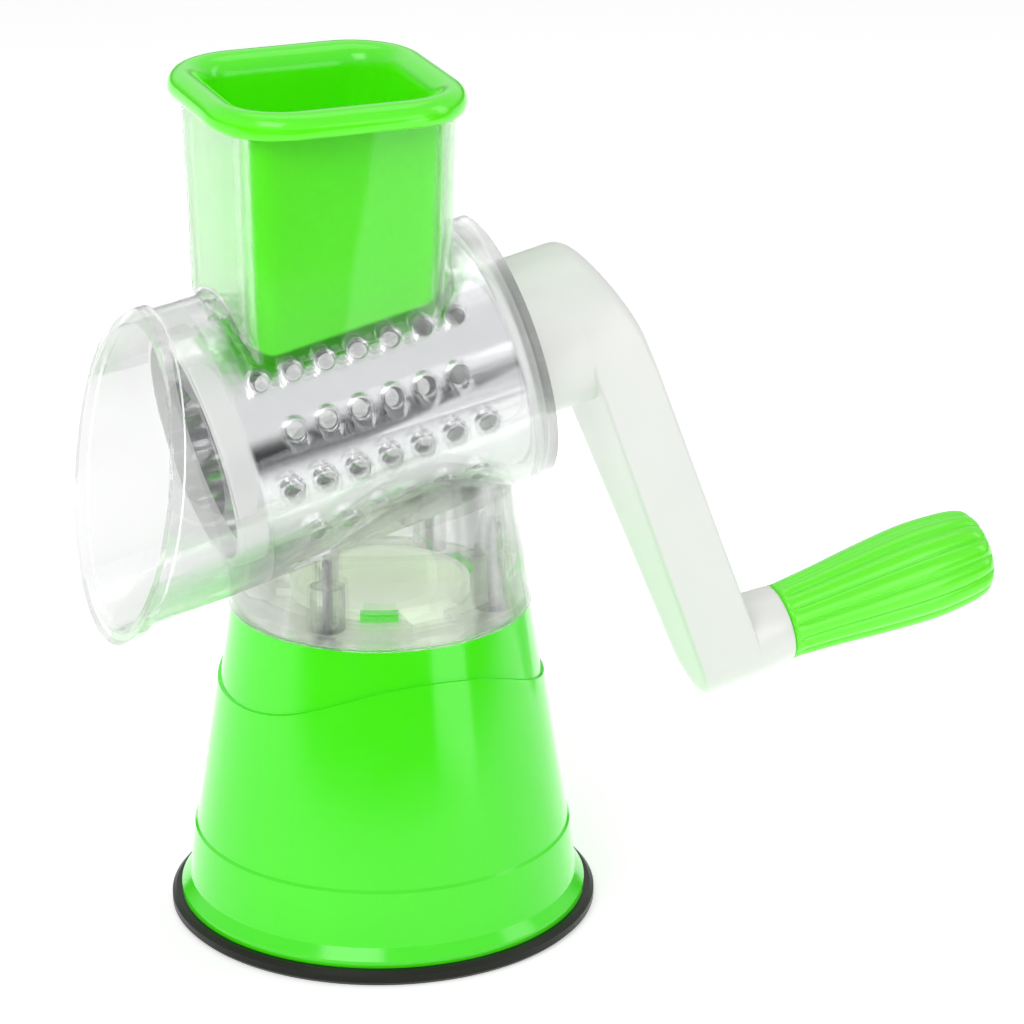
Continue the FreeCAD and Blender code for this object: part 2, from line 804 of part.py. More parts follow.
def base_adapter():
    """The clear floor of the skirt with the twist-lock opening and four screw holes."""
    bottom = base_height + flat_gap
    top = bottom + size("adapter_thickness")
    hole = collar_radius + size("collar_gap")
    edge = size("cone_top_radius") - size("skirt_wall") - size("adapter_gap")
    disc = turned("adapter_disc", [(hole, bottom), (edge, bottom), (edge, top), (hole, top)])
    bores = []
    for number, (across, aside, tall) in enumerate(standoff_places()):
        bores.append(cylinder("screw_way_%d" % number, size("screw_radius") + flat_gap,
                              size("adapter_thickness") + overrun * 2,
                              Vector(across, aside, (bottom - overrun).value)))
        bores.append(cylinder("head_well_%d" % number, size("screw_head_radius") + size("screw_head_gap"),
                              size("screw_head_height"), Vector(across, aside, bottom.value)))
    reach = size("lock_tab_reach") + size("notch_reach_gap") + overrun
    width = size("lock_tab_width") + size("notch_width_gap")
    for number, angle in enumerate(TAB_ANGLES):
        notch = box("lock_notch_%d" % number, reach, width, size("adapter_thickness") + overrun * 2, Vector())
        turn = FreeCAD.Rotation(Z_AXIS, angle + size("lock_angle").value)
        corner = Vector((collar_radius - overrun).value, -width.value / 2, (bottom - overrun).value)
        notch.Placement = FreeCAD.Placement(turn.multVec(corner), turn)
        bores.append(notch)
    return cut("base_adapter", disc, fused("adapter_bores", bores))


def adapter_screws():
    """The four screws that hold the adapter under the housing's bosses."""
    bottom = base_height + flat_gap + size("screw_head_height")
    places = []
    lengths = []
    for across, aside, tall in standoff_places():
        places.append(Vector(across, aside, bottom.value))
        lengths.append(size("adapter_thickness") - size("screw_head_height") + tall + size("screw_bite")
                       - size("screw_tip"))
    return screws("adapter_screws", places, lengths)


def rear_bearing():
    """The flanged bush in the barrel's rear wall that carries the crank's journal."""
    bore = size("journal_radius") + fit
    outer = size("journal_radius") + size("bush_wall")
    flange = outer + size("bush_flange")
    rear = size("barrel_rear")
    inner_face = rear - size("rear_wall")
    bush = turned("rear_bearing", [
        (bore, inner_face), (outer, inner_face), (outer, rear), (flange, rear),
        (flange, rear + size("bush_flange_thickness")), (bore, rear + size("bush_flange_thickness"))])
    return on_barrel(bush)


# Drum
def drum():
    """The punched steel sleeve."""
    radius = size("drum_radius")
    sleeve = turned("drum_sleeve", [
        (radius - size("drum_sheet"), -size("drum_front")), (radius, -size("drum_front")),
        (radius, size("drum_rear")), (radius - size("drum_sheet"), size("drum_rear"))])
    rows = int(size("hole_row_count").value)
    holes = int(size("holes_in_row_count").value)
    pitch = size("hole_pitch").value
    punches = []
    for row in range(rows):
        angle = size("row_angle").value + 360.0 / rows * row
        staggered = row % 2
        for number in range(holes - staggered):
            along = pitch * (number + staggered / 2) - size("hole_start").value
            turn = FreeCAD.Rotation(Z_AXIS, angle)
            start = Vector((radius - size("punch_start")).value, 0, along)
            punch = Part.makeCylinder(size("hole_radius").value, size("punch_length").value, start, X_AXIS)
            punch.Placement = FreeCAD.Placement(Vector(), turn).multiply(punch.Placement)
            punches.append(punch)
    punching = doc.addObject("Part::Feature", "drum_punches")
    punching.Shape = Part.makeCompound(punches)
    return on_barrel(cut("drum", sleeve, punching))


def drum_front_ring():
    """The white ring round the drum's open end."""
    radius = size("ring_radius")
    front = size("ring_front")
    seat = size("drum_radius") + size("press_gap")
    shoulder = size("drum_front")
    chamfer = size("ring_chamfer")
    return on_barrel(turned("drum_front_ring", [
        (size("ring_inner"), -front), (radius - chamfer, -front), (radius, chamfer - front), (radius, -size("ring_rear")),
        (seat, -size("ring_rear")), (seat, -shoulder), (size("ring_inner"), -shoulder)]))


def drum_rear_disc():
    """The white plug in the drum's rear end with the square drive socket."""
    rim_front = size("drum_rear")
    rim_rear = rim_front + size("disc_rim_thickness")
    plug = size("drum_radius") - size("drum_sheet") - size("press_gap")
    front = rim_front - size("disc_plug_depth")
    socket = size("socket_radius")
    web = size("disc_web")
    socket_front = rim_front - size("socket_depth")
    disc = turned("rear_disc_turned", [
        (0, socket_front), (socket, socket_front), (socket, rim_front - web),
        (plug - web, rim_front - web), (plug - web, front), (plug, front), (plug, rim_front),
        (size("disc_rim_radius"), rim_front), (size("disc_rim_radius"), rim_rear), (0, rim_rear)])
    half = size("square_half") + flat_gap
    socket_start = socket_front + size("socket_floor")
    socket_cut = padded("socket_cut", "XY_Plane", [(-half, -half), (half, -half), (half, half), (-half, half)],
                        rim_rear + overrun - socket_start)
    socket_cut.Placement.Base = Vector(0, 0, socket_start.value)
    return on_barrel(cut("drum_rear_disc", disc, socket_cut))


# Crank
def crank():
    """The white crank: square drive, journal, hub, slanted arm and handle boss."""
    half = size("square_half")
    square_start = size("drum_rear") - size("socket_depth") + size("socket_floor") + size("square_end_gap")
    journal_start = size("drum_rear") + size("disc_rim_thickness") + size("journal_gap")
    square = padded("crank_square", "XY_Plane", [(-half, -half), (half, -half), (half, half), (-half, half)],
                    journal_start - square_start + overrun)
    square.Placement.Base = Vector(0, 0, square_start.value)
    hub = size("hub_radius")
    start = size("hub_start")
    chamfer = size("hub_chamfer")
    inner = size("arm_inner")
    hub_end = inner + size("arm_lap")
    turned_part = turned("crank_hub", [
        (0, journal_start), (size("journal_radius"), journal_start), (size("journal_radius"), start),
        (hub - chamfer, start), (hub, start + chamfer), (hub, hub_end), (0, hub_end)])
    length = size("crank_length")
    end = size("arm_end_radius")
    slope = tangent(size("arm_tilt"))
    outer = inner + size("arm_thickness")
    margin = size("arm_end_margin")
    reach = length + end + margin
    tip_face = outer + slope * length
    plan = arm_plan(hub.value, end.value, length.value, (outer + slope * reach + margin).value)
    side = padded("arm_side", "XZ_Plane", [
        (-hub - margin, inner - overrun), (0, inner), (reach, inner + slope * reach),
        (reach, outer + slope * reach), (0, outer),
        (-hub * size("heel_first_share"), outer - size("heel_first_drop")),
        (-hub * size("heel_second_share"), outer - size("heel_second_drop")),
        (-hub - margin, outer - size("heel_last_drop"))], (hub + margin) * 2, both_sides=True)
    arm = common("crank_arm", plan, side)
    lap = size("arm_lap")
    boss = cylinder("handle_boss", size("boss_radius"), size("boss_length") + lap,
                    Vector(length.value, 0, (tip_face - lap).value))
    solid = fused("crank_solid", [square, turned_part, arm, boss])
    pin_room = size("pin_depth") + overrun
    pin_hole = cylinder("crank_pin_hole", size("pin_radius"), pin_room + size("boss_length") + overrun,
                        Vector(length.value, 0, (tip_face - pin_room).value))
    return on_barrel(cut("crank", solid, pin_hole))


def arm_plan(hub_radius, end_radius, length, tall):
    """The arm's outline seen along the shaft: two circles joined by their common tangents."""
    lean = math.asin((hub_radius - end_radius) / length)
    across = math.sin(lean)
    aside = math.cos(lean)
    high_hub = Vector(hub_radius * across, hub_radius * aside, 0)
    high_end = Vector(length + end_radius * across, end_radius * aside, 0)
    low_hub = Vector(high_hub.x, -high_hub.y, 0)
    low_end = Vector(high_end.x, -high_end.y, 0)
    edges = [
        Part.makeLine(high_hub, high_end),
        Part.Arc(high_end, Vector(length + end_radius, 0, 0), low_end).toShape(),
        Part.makeLine(low_end, low_hub),
        Part.Arc(low_hub, Vector(-hub_radius, 0, 0), high_hub).toShape()]
    plan = doc.addObject("Part::Feature", "arm_plan")
    plan.Shape = Part.Face(Part.Wire(edges)).extrude(Vector(0, 0, tall))
    return plan


def pin_start():
    """How far along the barrel axis the handle pin starts."""
    rise = tangent(size("arm_tilt")) * size("crank_length")
    return size("arm_inner") + size("arm_thickness") + rise - size("pin_depth")


def on_handle(item):
    """Moves a piece from the barrel axis down to the handle's axis."""
    on_barrel(item)
    offset = barrel_point(0, size("crank_length").value) - barrel_point(0)
    item.Placement.Base = barrel_point(0) + offset
    item.setExpression("Placement.Base.z", None)
    return item


def handle_pin():
    """The steel pin fixed in the crank on which the grip turns."""
    tip = size("grip_start") + size("grip_length") - size("grip_cap_depth") - overrun - size("pin_cap_gap")
    neck = tip - size("pin_head_height")
    return on_handle(turned("handle_pin", [
        (0, pin_start()), (size("pin_radius"), pin_start()), (size("pin_radius"), neck),
        (size("pin_head_radius"), neck), (size("pin_head_radius"), tip), (0, tip)]))


def grip():
    """The green grip, swelling towards its far end, bored for the pin."""
    start = size("grip_start")
    length = size("grip_length")
    end = start + length
    small = size("grip_small_radius")
    large = size("grip_large_radius")
    bore = size("pin_radius") + fit
    well = size("grip_cap_radius")
    shoulder = end - size("grip_cap_depth") - size("pin_head_height") - size("pin_head_room")
    swell = [
        (0.2, small + size("grip_neck_swell")), (0.45, large - size("grip_waist_drop")), (0.68, large),
        (0.84, large - size("grip_shoulder_drop")), (0.95, large - size("grip_end_drop"))]
    return on_handle(turned("grip", [
        (bore, start), (small, start), (small, start + size("grip_band"))]
        + [(radius, start + length * share) for share, radius in swell]
        + [(large - size("grip_face_drop"), end), (well, end), (well, shoulder), (bore, shoulder)]))


def grip_cap():
    """The plug that closes the grip's far end."""
    end = size("grip_start") + size("grip_length")
    radius = size("grip_cap_radius") - size("grip_cap_gap")
    start = end - size("grip_cap_thickness")
    return on_handle(turned("grip_cap", [
        (0, start), (radius, start), (radius, end),
        (radius - size("grip_cap_edge"), end + size("grip_cap_rise")), (0, end + size("grip_cap_crown"))]))


def shaft_clip():
    """The ring inside the rear wall that keeps the crank's journal in its bush."""
    journal = size("journal_radius")
    outer = journal + size("clip_width")
    rear = size("barrel_rear") - size("rear_wall") - flat_gap
    front = rear - size("shaft_clip_thickness")
    return on_barrel(turned("shaft_clip", [(journal, front), (outer, front), (outer, rear), (journal, rear)]))


# Pusher
def pusher():
    """The hollow food pusher, its bottom arched over the drum, with a rolled rim."""
    top = chute_top
    clearance = size("chute_wall") + size("pusher_gap")
    outer = chute_form("pusher_outer", clearance, top + size("rim_height") / 2, size("chute_depth"))
    rim_x = size("rim_half_x")
    rim_y = size("rim_half_y")
    rim_block = padded("rim_block", "XY_Plane", [(-rim_x, -rim_y), (rim_x, -rim_y), (rim_x, rim_y), (-rim_x, rim_y)],
                       size("rim_height"))
    rim_block.Placement.Base = Vector(-size("chute_offset").value, 0, (top + flat_gap).value)
    rim_plain = round_edges("rim_plain", rim_block, size("rim_round"), upright)
    rim = round_edges("rim", rim_plain, size("rim_edge_round"), lambda edge: not upright(edge))
    solid = fused("pusher_solid", [outer, rim])
    inner = chute_form("pusher_inner", clearance + size("pusher_wall"), top + size("rim_height") + overrun * 2,
                       size("chute_depth"), size("pusher_inner_round"))
    floor = barrel_rod("pusher_floor", size("pusher_arch_radius") + size("pusher_wall"))
    arch = barrel_rod("pusher_arch", size("pusher_arch_radius"))
    hollow = cut("pusher_open", cut("pusher_body", solid, cut("pusher_hollow", inner, floor)), arch)
    rim_top = (top + flat_gap + size("rim_height")).value
    return round_edges("pusher", hollow, size("rim_edge_round"),
                       lambda edge: edge.BoundBox.ZMin > rim_top - fit.value and in_opening(edge))


def in_opening(edge):
    """Whether an edge lies round the pusher's opening and not round its rim."""
    middle = edge.BoundBox.Center
    half = size("chute_half").value
    return abs(middle.x + size("chute_offset").value) < half and abs(middle.y) < half


def barrel_rod(label, radius):
    """A long rod along the barrel axis."""
    length = size("tool_length")
    return cylinder(label, radius, length, barrel_point(-length.value / 2),
                    FreeCAD.Rotation(Y_AXIS, 90 - barrel_tilt.value))


SUB_PARTS = [
    suction_pad(), base_shell(), lock_plate(), lock_tabs(),
    mechanism_plate(), plate_screws(), suction_stem(), suction_lever(), lever_clip(),
    housing(), base_adapter(), adapter_screws(), rear_bearing(), shaft_clip(),
    drum(), drum_front_ring(), drum_rear_disc(),
    crank(), handle_pin(), grip(), grip_cap(), pusher()]
doc.recompute()

for item in doc.Objects:
    if "Invalid" in item.State or "Error" in item.State:
        raise RuntimeError("%s did not build" % item.Label)

os.makedirs("parts", exist_ok=True)
for part in SUB_PARTS:
    shape = part.Shape
    if shape.isNull() or not shape.isValid():
        raise RuntimeError("%s has no valid shape" % part.Label)
    shape.exportStep("parts/%s.step" % part.Label)
    print("%-18s solids %d  volume %9.1f mm3" % (part.Label, len(shape.Solids), shape.Volume))
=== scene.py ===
"""Dresses the drum grater: finishes, raised drum teeth, grip flutes, studio light and the camera."""
import logging
import math
from collections.abc import Callable
from dataclasses import dataclass
from enum import Enum

import bmesh
import bpy
from mathutils import Matrix, Vector


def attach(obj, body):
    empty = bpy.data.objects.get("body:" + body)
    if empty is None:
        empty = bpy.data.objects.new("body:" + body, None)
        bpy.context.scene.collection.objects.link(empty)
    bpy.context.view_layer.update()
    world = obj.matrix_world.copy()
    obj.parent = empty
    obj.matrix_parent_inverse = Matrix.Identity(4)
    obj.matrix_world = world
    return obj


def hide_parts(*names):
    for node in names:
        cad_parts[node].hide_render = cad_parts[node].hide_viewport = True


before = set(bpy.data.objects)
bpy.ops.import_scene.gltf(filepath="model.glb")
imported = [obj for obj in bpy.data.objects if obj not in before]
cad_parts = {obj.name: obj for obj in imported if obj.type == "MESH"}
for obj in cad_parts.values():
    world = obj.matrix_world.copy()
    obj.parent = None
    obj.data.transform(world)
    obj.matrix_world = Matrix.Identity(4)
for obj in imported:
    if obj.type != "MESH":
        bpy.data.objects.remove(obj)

log = logging.getLogger("grater")
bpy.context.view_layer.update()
Color = tuple[float, float, float, float]
Triple = tuple[float, float, float]
Surface = Callable[[float, float], float]
OutlinePoint = tuple[Vector, Vector]
WHITE: Color = (1.0, 1.0, 1.0, 1.0)


class Noise(Enum):
    """How coarse a surface's unevenness is, as cycles per metre."""

    FINE = 900.0
    MEDIUM = 220.0
    BROAD = 35.0


def shade(sock: bpy.types.NodeSocket, value: float | Color | Triple) -> None:
    """Sets a shader socket.

    Args:
        sock: The socket.
        value: Its new value.
    """
    sock.default_value = value


def blend_shades(tree: bpy.types.NodeTree, factor: bpy.types.NodeSocket, first: Color,
                 second: Color) -> bpy.types.NodeSocket:
    """Mixes two colours.

    Args:
        tree: The tree that the mix goes into.
        factor: The share of the second colour.
        first: The first colour.
        second: The second colour.

    Returns:
        The mixed colour.
    """
    mix = tree.nodes.new("ShaderNodeMix")
    mix.data_type = "RGBA"
    shade(mix.inputs["A"], first)
    shade(mix.inputs["B"], second)
    tree.links.new(factor, mix.inputs["Factor"])
    return mix.outputs["Result"]


def spread_out(tree: bpy.types.NodeTree, value: bpy.types.NodeSocket, soft: bool = False,
               **limits: float) -> bpy.types.NodeSocket:
    """Maps a value from one range to another.

    Args:
        tree: The tree that the node goes into.
        value: The value to map.
        soft: Whether it eases in and out.
        limits: from_min, from_max, to_min and to_max, where they aren't 0 and 1.

    Returns:
        The mapped value.
    """
    node = tree.nodes.new("ShaderNodeMapRange")
    if soft:
        node.interpolation_type = "SMOOTHSTEP"
    for name, limit in limits.items():
        shade(node.inputs[name.replace("_", " ").title()], limit)
    tree.links.new(value, node.inputs["Value"])
    return node.outputs["Result"]


def reckon(tree: bpy.types.NodeTree, operation: str, first: float | bpy.types.NodeSocket,
           second: float | bpy.types.NodeSocket) -> bpy.types.NodeSocket:
    """One sum of two values.

    Args:
        tree: The tree that the node goes into.
        operation: The Math node's operation.
        first: The first value.
        second: The second value.

    Returns:
        The result.
    """
    node = tree.nodes.new("ShaderNodeMath")
    node.operation = operation
    for socket, value in zip(node.inputs, (first, second)):
        if isinstance(value, bpy.types.NodeSocket):
            tree.links.new(value, socket)
        else:
            shade(socket, value)
    return node.outputs[0]


def seen_mirrored(tree: bpy.types.NodeTree) -> bpy.types.NodeSocket:
    """One for a ray that was mirrored on its way, and zero for the rest.

    Args:
        tree: The tree that the nodes go into.

    Returns:
        The value.
    """
    rays = tree.nodes.new("ShaderNodeLightPath")
    return reckon(tree, "MINIMUM", rays.outputs["Glossy Depth"], 1.0)


def linear(red: int, green: int, blue: int) -> tuple[float, float, float, float]:
    """A screen colour as linear light.

    Args:
        red: Red from 0 to 255.
        green: Green from 0 to 255.
        blue: Blue from 0 to 255.

    Returns:
        The colour with an alpha of one.
    """
    channels = []
    for level in (red, green, blue):
        part = level / 255
        channels.append(part / 12.92 if part <= 0.04045 else ((part + 0.055) / 1.055) ** 2.4)
    return (channels[0], channels[1], channels[2], 1.0)


@dataclass(frozen=True)
class Finish:
    """A surface with slight unevenness in gloss and relief.

    Args:
        name: The finish's name.
        color: Its linear colour.
        roughness: The mean roughness.
        spread: How far the roughness strays from the mean.
        relief: Height of the moulded unevenness in metres.
        grain: How coarse the unevenness is.
        metallic: One for bare metal.
        shine: Strength of the surface's own reflection.
        stretch: How the unevenness is scaled along each axis.
        tone: How far the colour darkens in broad patches.
        lift: Strength of a painted glow in the finish's own colour: the surface emits light though it is no
            lamp.
        detail: How many finer layers the unevenness has.
        smoothest: The lowest roughness.
    """

    name: str
    color: Color
    roughness: float = 0.3
    spread: float = 0.06
    relief: float = 0.00002
    grain: Noise = Noise.MEDIUM
    metallic: float = 0.0
    shine: float = 0.5
    stretch: Triple = (1.0, 1.0, 1.0)
    tone: float = 0.04
    lift: float = 0.0
    detail: float = 4.0
    smoothest: float = 0.02

    def material(self) -> bpy.types.Material:
        """Builds the finish.

        Returns:
            The material.
        """
        material = bpy.data.materials.new(self.name)
        material.use_nodes = True
        tree = material.node_tree
        nodes = tree.nodes
        links = tree.links
        shader = nodes["Principled BSDF"]
        place = nodes.new("ShaderNodeTexCoord")
        mapping = nodes.new("ShaderNodeMapping")
        shade(mapping.inputs["Scale"], self.stretch)
        links.new(place.outputs["Object"], mapping.inputs["Vector"])
        noise = nodes.new("ShaderNodeTexNoise")
        shade(noise.inputs["Scale"], self.grain.value)
        shade(noise.inputs["Detail"], self.detail)
        links.new(mapping.outputs["Vector"], noise.inputs["Vector"])
        gloss = spread_out(tree, noise.outputs["Fac"],
                           to_min=max(self.smoothest, self.roughness - self.spread),
                           to_max=min(1.0, self.roughness + self.spread))
        links.new(gloss, shader.inputs["Roughness"])
        cloud = nodes.new("ShaderNodeTexNoise")
        shade(cloud.inputs["Scale"], Noise.BROAD.value)
        links.new(mapping.outputs["Vector"], cloud.inputs["Vector"])
        darker = tuple(level * (1 - self.tone) for level in self.color[:3]) + (1.0,)
        links.new(blend_shades(tree, cloud.outputs["Fac"], darker, self.color), shader.inputs["Base Color"])
        bump = nodes.new("ShaderNodeBump")
        shade(bump.inputs["Distance"], self.relief)
        links.new(noise.outputs["Fac"], bump.inputs["Height"])
        links.new(bump.outputs["Normal"], shader.inputs["Normal"])
        shade(shader.inputs["Metallic"], self.metallic)
        shade(shader.inputs["Specular IOR Level"], self.shine)
        # Painted light: a finish with lift glows in its own colour, which brightens it where the lamps leave
        # it dim.
        if self.lift:
            shade(shader.inputs["Emission Color"], self.color)
            shade(shader.inputs["Emission Strength"], self.lift)
        return material


@dataclass(frozen=True)
class ClearFinish:
    """Clear moulded plastic.

    Args:
        name: The finish's name.
        color: The linear tint of the light that passes.
        edge_color: Painted shade where a wall is seen edge on, which stands in for the dark edges that
            refraction shows there.
        roughness: The mean roughness.
        index: The index of refraction.
        facing: Share of the light that a wall seen face on bends; the rest passes straight on.
        grazing: The same share for a wall seen nearly edge on.
        shadow: How much of its share a wall holds back from the light behind it.
        edge_start: How slanted a wall is where the painted edge shade begins, from 0 to 1.
        edge_blend: How early the bent share rises with the slant.
        shine: Strength of the surface's own reflection.
        uneven: How far the roughness strays, as a share of its mean.
        relief: Height of the moulded unevenness in metres.
    """

    name: str
    color: Color
    edge_color: Color = (0.12, 0.12, 0.13, 1.0)
    roughness: float = 0.012
    index: float = 1.5
    facing: float = 0.30
    grazing: float = 0.96
    shadow: float = 0.15
    edge_start: float = 0.68
    edge_blend: float = 0.36
    shine: float = 0.8
    uneven: float = 0.6
    relief: float = 0.00003

    def material(self) -> bpy.types.Material:
        """Builds the finish.

        Returns:
            The material.
        """
        material = bpy.data.materials.new(self.name)
        material.use_nodes = True
        tree = material.node_tree
        nodes = tree.nodes
        links = tree.links
        shader = nodes["Principled BSDF"]
        slant = nodes.new("ShaderNodeLayerWeight")
        shade(slant.inputs["Blend"], 0.5)
        # Painted shade: the colour darkens towards edge_color where a wall is seen edge on, standing in for
        # the dark edge lines of refraction.
        edge = spread_out(tree, slant.outputs["Facing"], soft=True, from_min=self.edge_start)
        links.new(blend_shades(tree, edge, self.color, self.edge_color), shader.inputs["Base Color"])
        shade(shader.inputs["Transmission Weight"], 1.0)
        shade(shader.inputs["IOR"], self.index)
        shade(shader.inputs["Specular IOR Level"], self.shine)
        turned = nodes.new("ShaderNodeLayerWeight")
        shade(turned.inputs["Blend"], self.edge_blend)
        share = spread_out(tree, turned.outputs["Facing"], to_min=self.facing, to_max=self.grazing)
        rays = nodes.new("ShaderNodeLightPath")
        passing = spread_out(tree, rays.outputs["Is Shadow Ray"], to_min=1.0, to_max=self.shadow)
        links.new(reckon(tree, "MULTIPLY", share, passing), shader.inputs["Alpha"])
        place = nodes.new("ShaderNodeTexCoord")
        noise = nodes.new("ShaderNodeTexNoise")
        shade(noise.inputs["Scale"], Noise.BROAD.value)
        links.new(place.outputs["Object"], noise.inputs["Vector"])
        gloss = spread_out(tree, noise.outputs["Fac"], to_min=self.roughness * (1 - self.uneven),
                           to_max=self.roughness * (1 + self.uneven))
        links.new(gloss, shader.inputs["Roughness"])
        bump = nodes.new("ShaderNodeBump")
        shade(bump.inputs["Distance"], self.relief)
        links.new(noise.outputs["Fac"], bump.inputs["Height"])
        links.new(bump.outputs["Normal"], shader.inputs["Normal"])
        return material


@dataclass
class Palette:
    """Every finish of the grater, by what it is used on."""

    rubber: Finish = Finish("pad_rubber", linear(20, 22, 16), roughness=0.42, shine=0.2, relief=0.00003,
                            grain=Noise.FINE)
    base_green: Finish = Finish("base_green", linear(70, 244, 2), roughness=0.14)
    pusher_green: Finish = Finish("pusher_green", linear(92, 252, 14), roughness=0.16)
    grip_green: Finish = Finish("grip_green", linear(104, 250, 30), roughness=0.22)
    crank_white: Finish = Finish("crank_white", linear(236, 238, 234), roughness=0.32)
    drum_white: Finish = Finish("drum_white", linear(232, 232, 232), roughness=0.35)
    lever_white: Finish = Finish("lever_white", linear(232, 234, 232), roughness=0.35)
    # The lock plate carries a painted glow (lift=0.3), which brightens it where the drum and barrel shade it
    # behind the clear walls.
    lock_pale: Finish = Finish("lock_pale", linear(226, 238, 216), roughness=0.35, lift=0.3)
    inner_grey: Finish = Finish("inner_grey", linear(150, 150, 150), roughness=0.5)
    steel: Finish = Finish("drum_steel", linear(228, 228, 230), roughness=0.08, spread=0.03, metallic=1.0,
                           relief=0.000006, stretch=(1.0, 6.0, 6.0))
    screw_steel: Finish = Finish("screw_steel", linear(190, 190, 192), roughness=0.3, metallic=1.0)
    clear: ClearFinish = ClearFinish("clear_plastic", linear(212, 214, 213))


@dataclass
class CadNodes:
    """The pieces whose solids already have the right shape.

    Args:
        finishes: The finish of each node.
    """

    finishes: dict[str, Finish | ClearFinish]

    def dress(self) -> dict[str, bpy.types.Material]:
        """Gives each node its finish.

        Returns:
            The materials made, by finish name.
        """
        made: dict[str, bpy.types.Material] = {}
        for node, finish in self.finishes.items():
            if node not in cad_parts:
                continue
            if finish.name not in made:
                made[finish.name] = finish.material()
            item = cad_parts[node]
            item.data.materials.clear()
            item.data.materials.append(made[finish.name])
            log.info("dressed %s in %s", node, finish.name)
        return made


@dataclass(frozen=True)
class BarrelAxis:
    """The tilted axis that the drum, crank and grip share.

    Args:
        tilt: How far the axis rises towards the crank, in degrees.
        height: Its height above the worktop at the middle of the base, in metres.
        crank_length: From the axis down to the grip's axis, in metres.
    """

    tilt: float = 12.34
    height: float = 0.1592
    crank_length: float = 0.116

    def place(self, down: float = 0.0) -> Matrix:
        """The place whose Z runs along the axis towards the crank and whose X points down.

        Args:
            down: How far below the axis, in metres.

        Returns:
            The place as a matrix.
        """
        turn = Matrix.Rotation(math.radians(90 - self.tilt), 4, "Y")
        return Matrix.Translation((0, 0, self.height)) @ turn @ Matrix.Translation((down, 0, 0))


AXIS = BarrelAxis()


def add_mesh(name: str, mesh: bpy.types.Mesh) -> bpy.types.Object:
    """Puts a mesh into the scene.

    Args:
        name: The piece's name.
        mesh: Its mesh.

    Returns:
        The new object.
    """
    item = bpy.data.objects.new(name, mesh)
    bpy.context.scene.collection.objects.link(item)
    return item


def ring_mesh(name: str, rings: list[list[Vector]], closed_ends: bool = False) -> bpy.types.Mesh:
    """A skin through rings of equally many points.

    Args:
        name: The mesh's name.
        rings: The rings in order.
        closed_ends: Whether the first and last ring are filled.

    Returns:
        The mesh.
    """
    work = bmesh.new()
    rows = [[work.verts.new(point) for point in ring] for ring in rings]
    count = len(rings[0])
    for row, following in zip(rows, rows[1:]):
        for index in range(count):
            after = (index + 1) % count
            work.faces.new((row[index], row[after], following[after], following[index]))
    if closed_ends:
        work.faces.new(rows[0])
        work.faces.new(rows[-1])
    bmesh.ops.recalc_face_normals(work, faces=work.faces)
    mesh = bpy.data.meshes.new(name)
    work.to_mesh(mesh)
    work.free()
    for face in mesh.polygons:
        face.use_smooth = True
    return mesh


def circle(radius: float, height: float, around: int, down: float = 0.0) -> list[Vector]:
    """A ring of points about an axis along Z.

    Args:
        radius: The ring's radius.
        height: Its height.
        around: How many points it has.
        down: How far along X its middle lies.

    Returns:
        The points.
    """
    turns = [math.tau * step / around for step in range(around)]
    return [Vector((down + radius * math.cos(turn), radius * math.sin(turn), height)) for turn in turns]


def finish_piece(name: str, mesh: bpy.types.Mesh, finish: bpy.types.Material, place: Matrix | None = None,
                 sharp: float | None = None) -> bpy.types.Object:
    """Places and dresses a mesh and puts it into the scene.

    Args:
        name: The piece's name.
        mesh: Its mesh.
        finish: Its finish.
        place: Where the mesh goes, if it isn't there yet.
        sharp: The angle in degrees from which an edge stays sharp, or None for a soft skin.

    Returns:
        The piece.
    """
    if sharp is not None:
        mesh.set_sharp_from_angle(angle=math.radians(sharp))
    if place is not None:
        mesh.transform(place)
    mesh.materials.append(finish)
    log.info("%s: %d faces", name, len(mesh.polygons))
    return add_mesh(name, mesh)


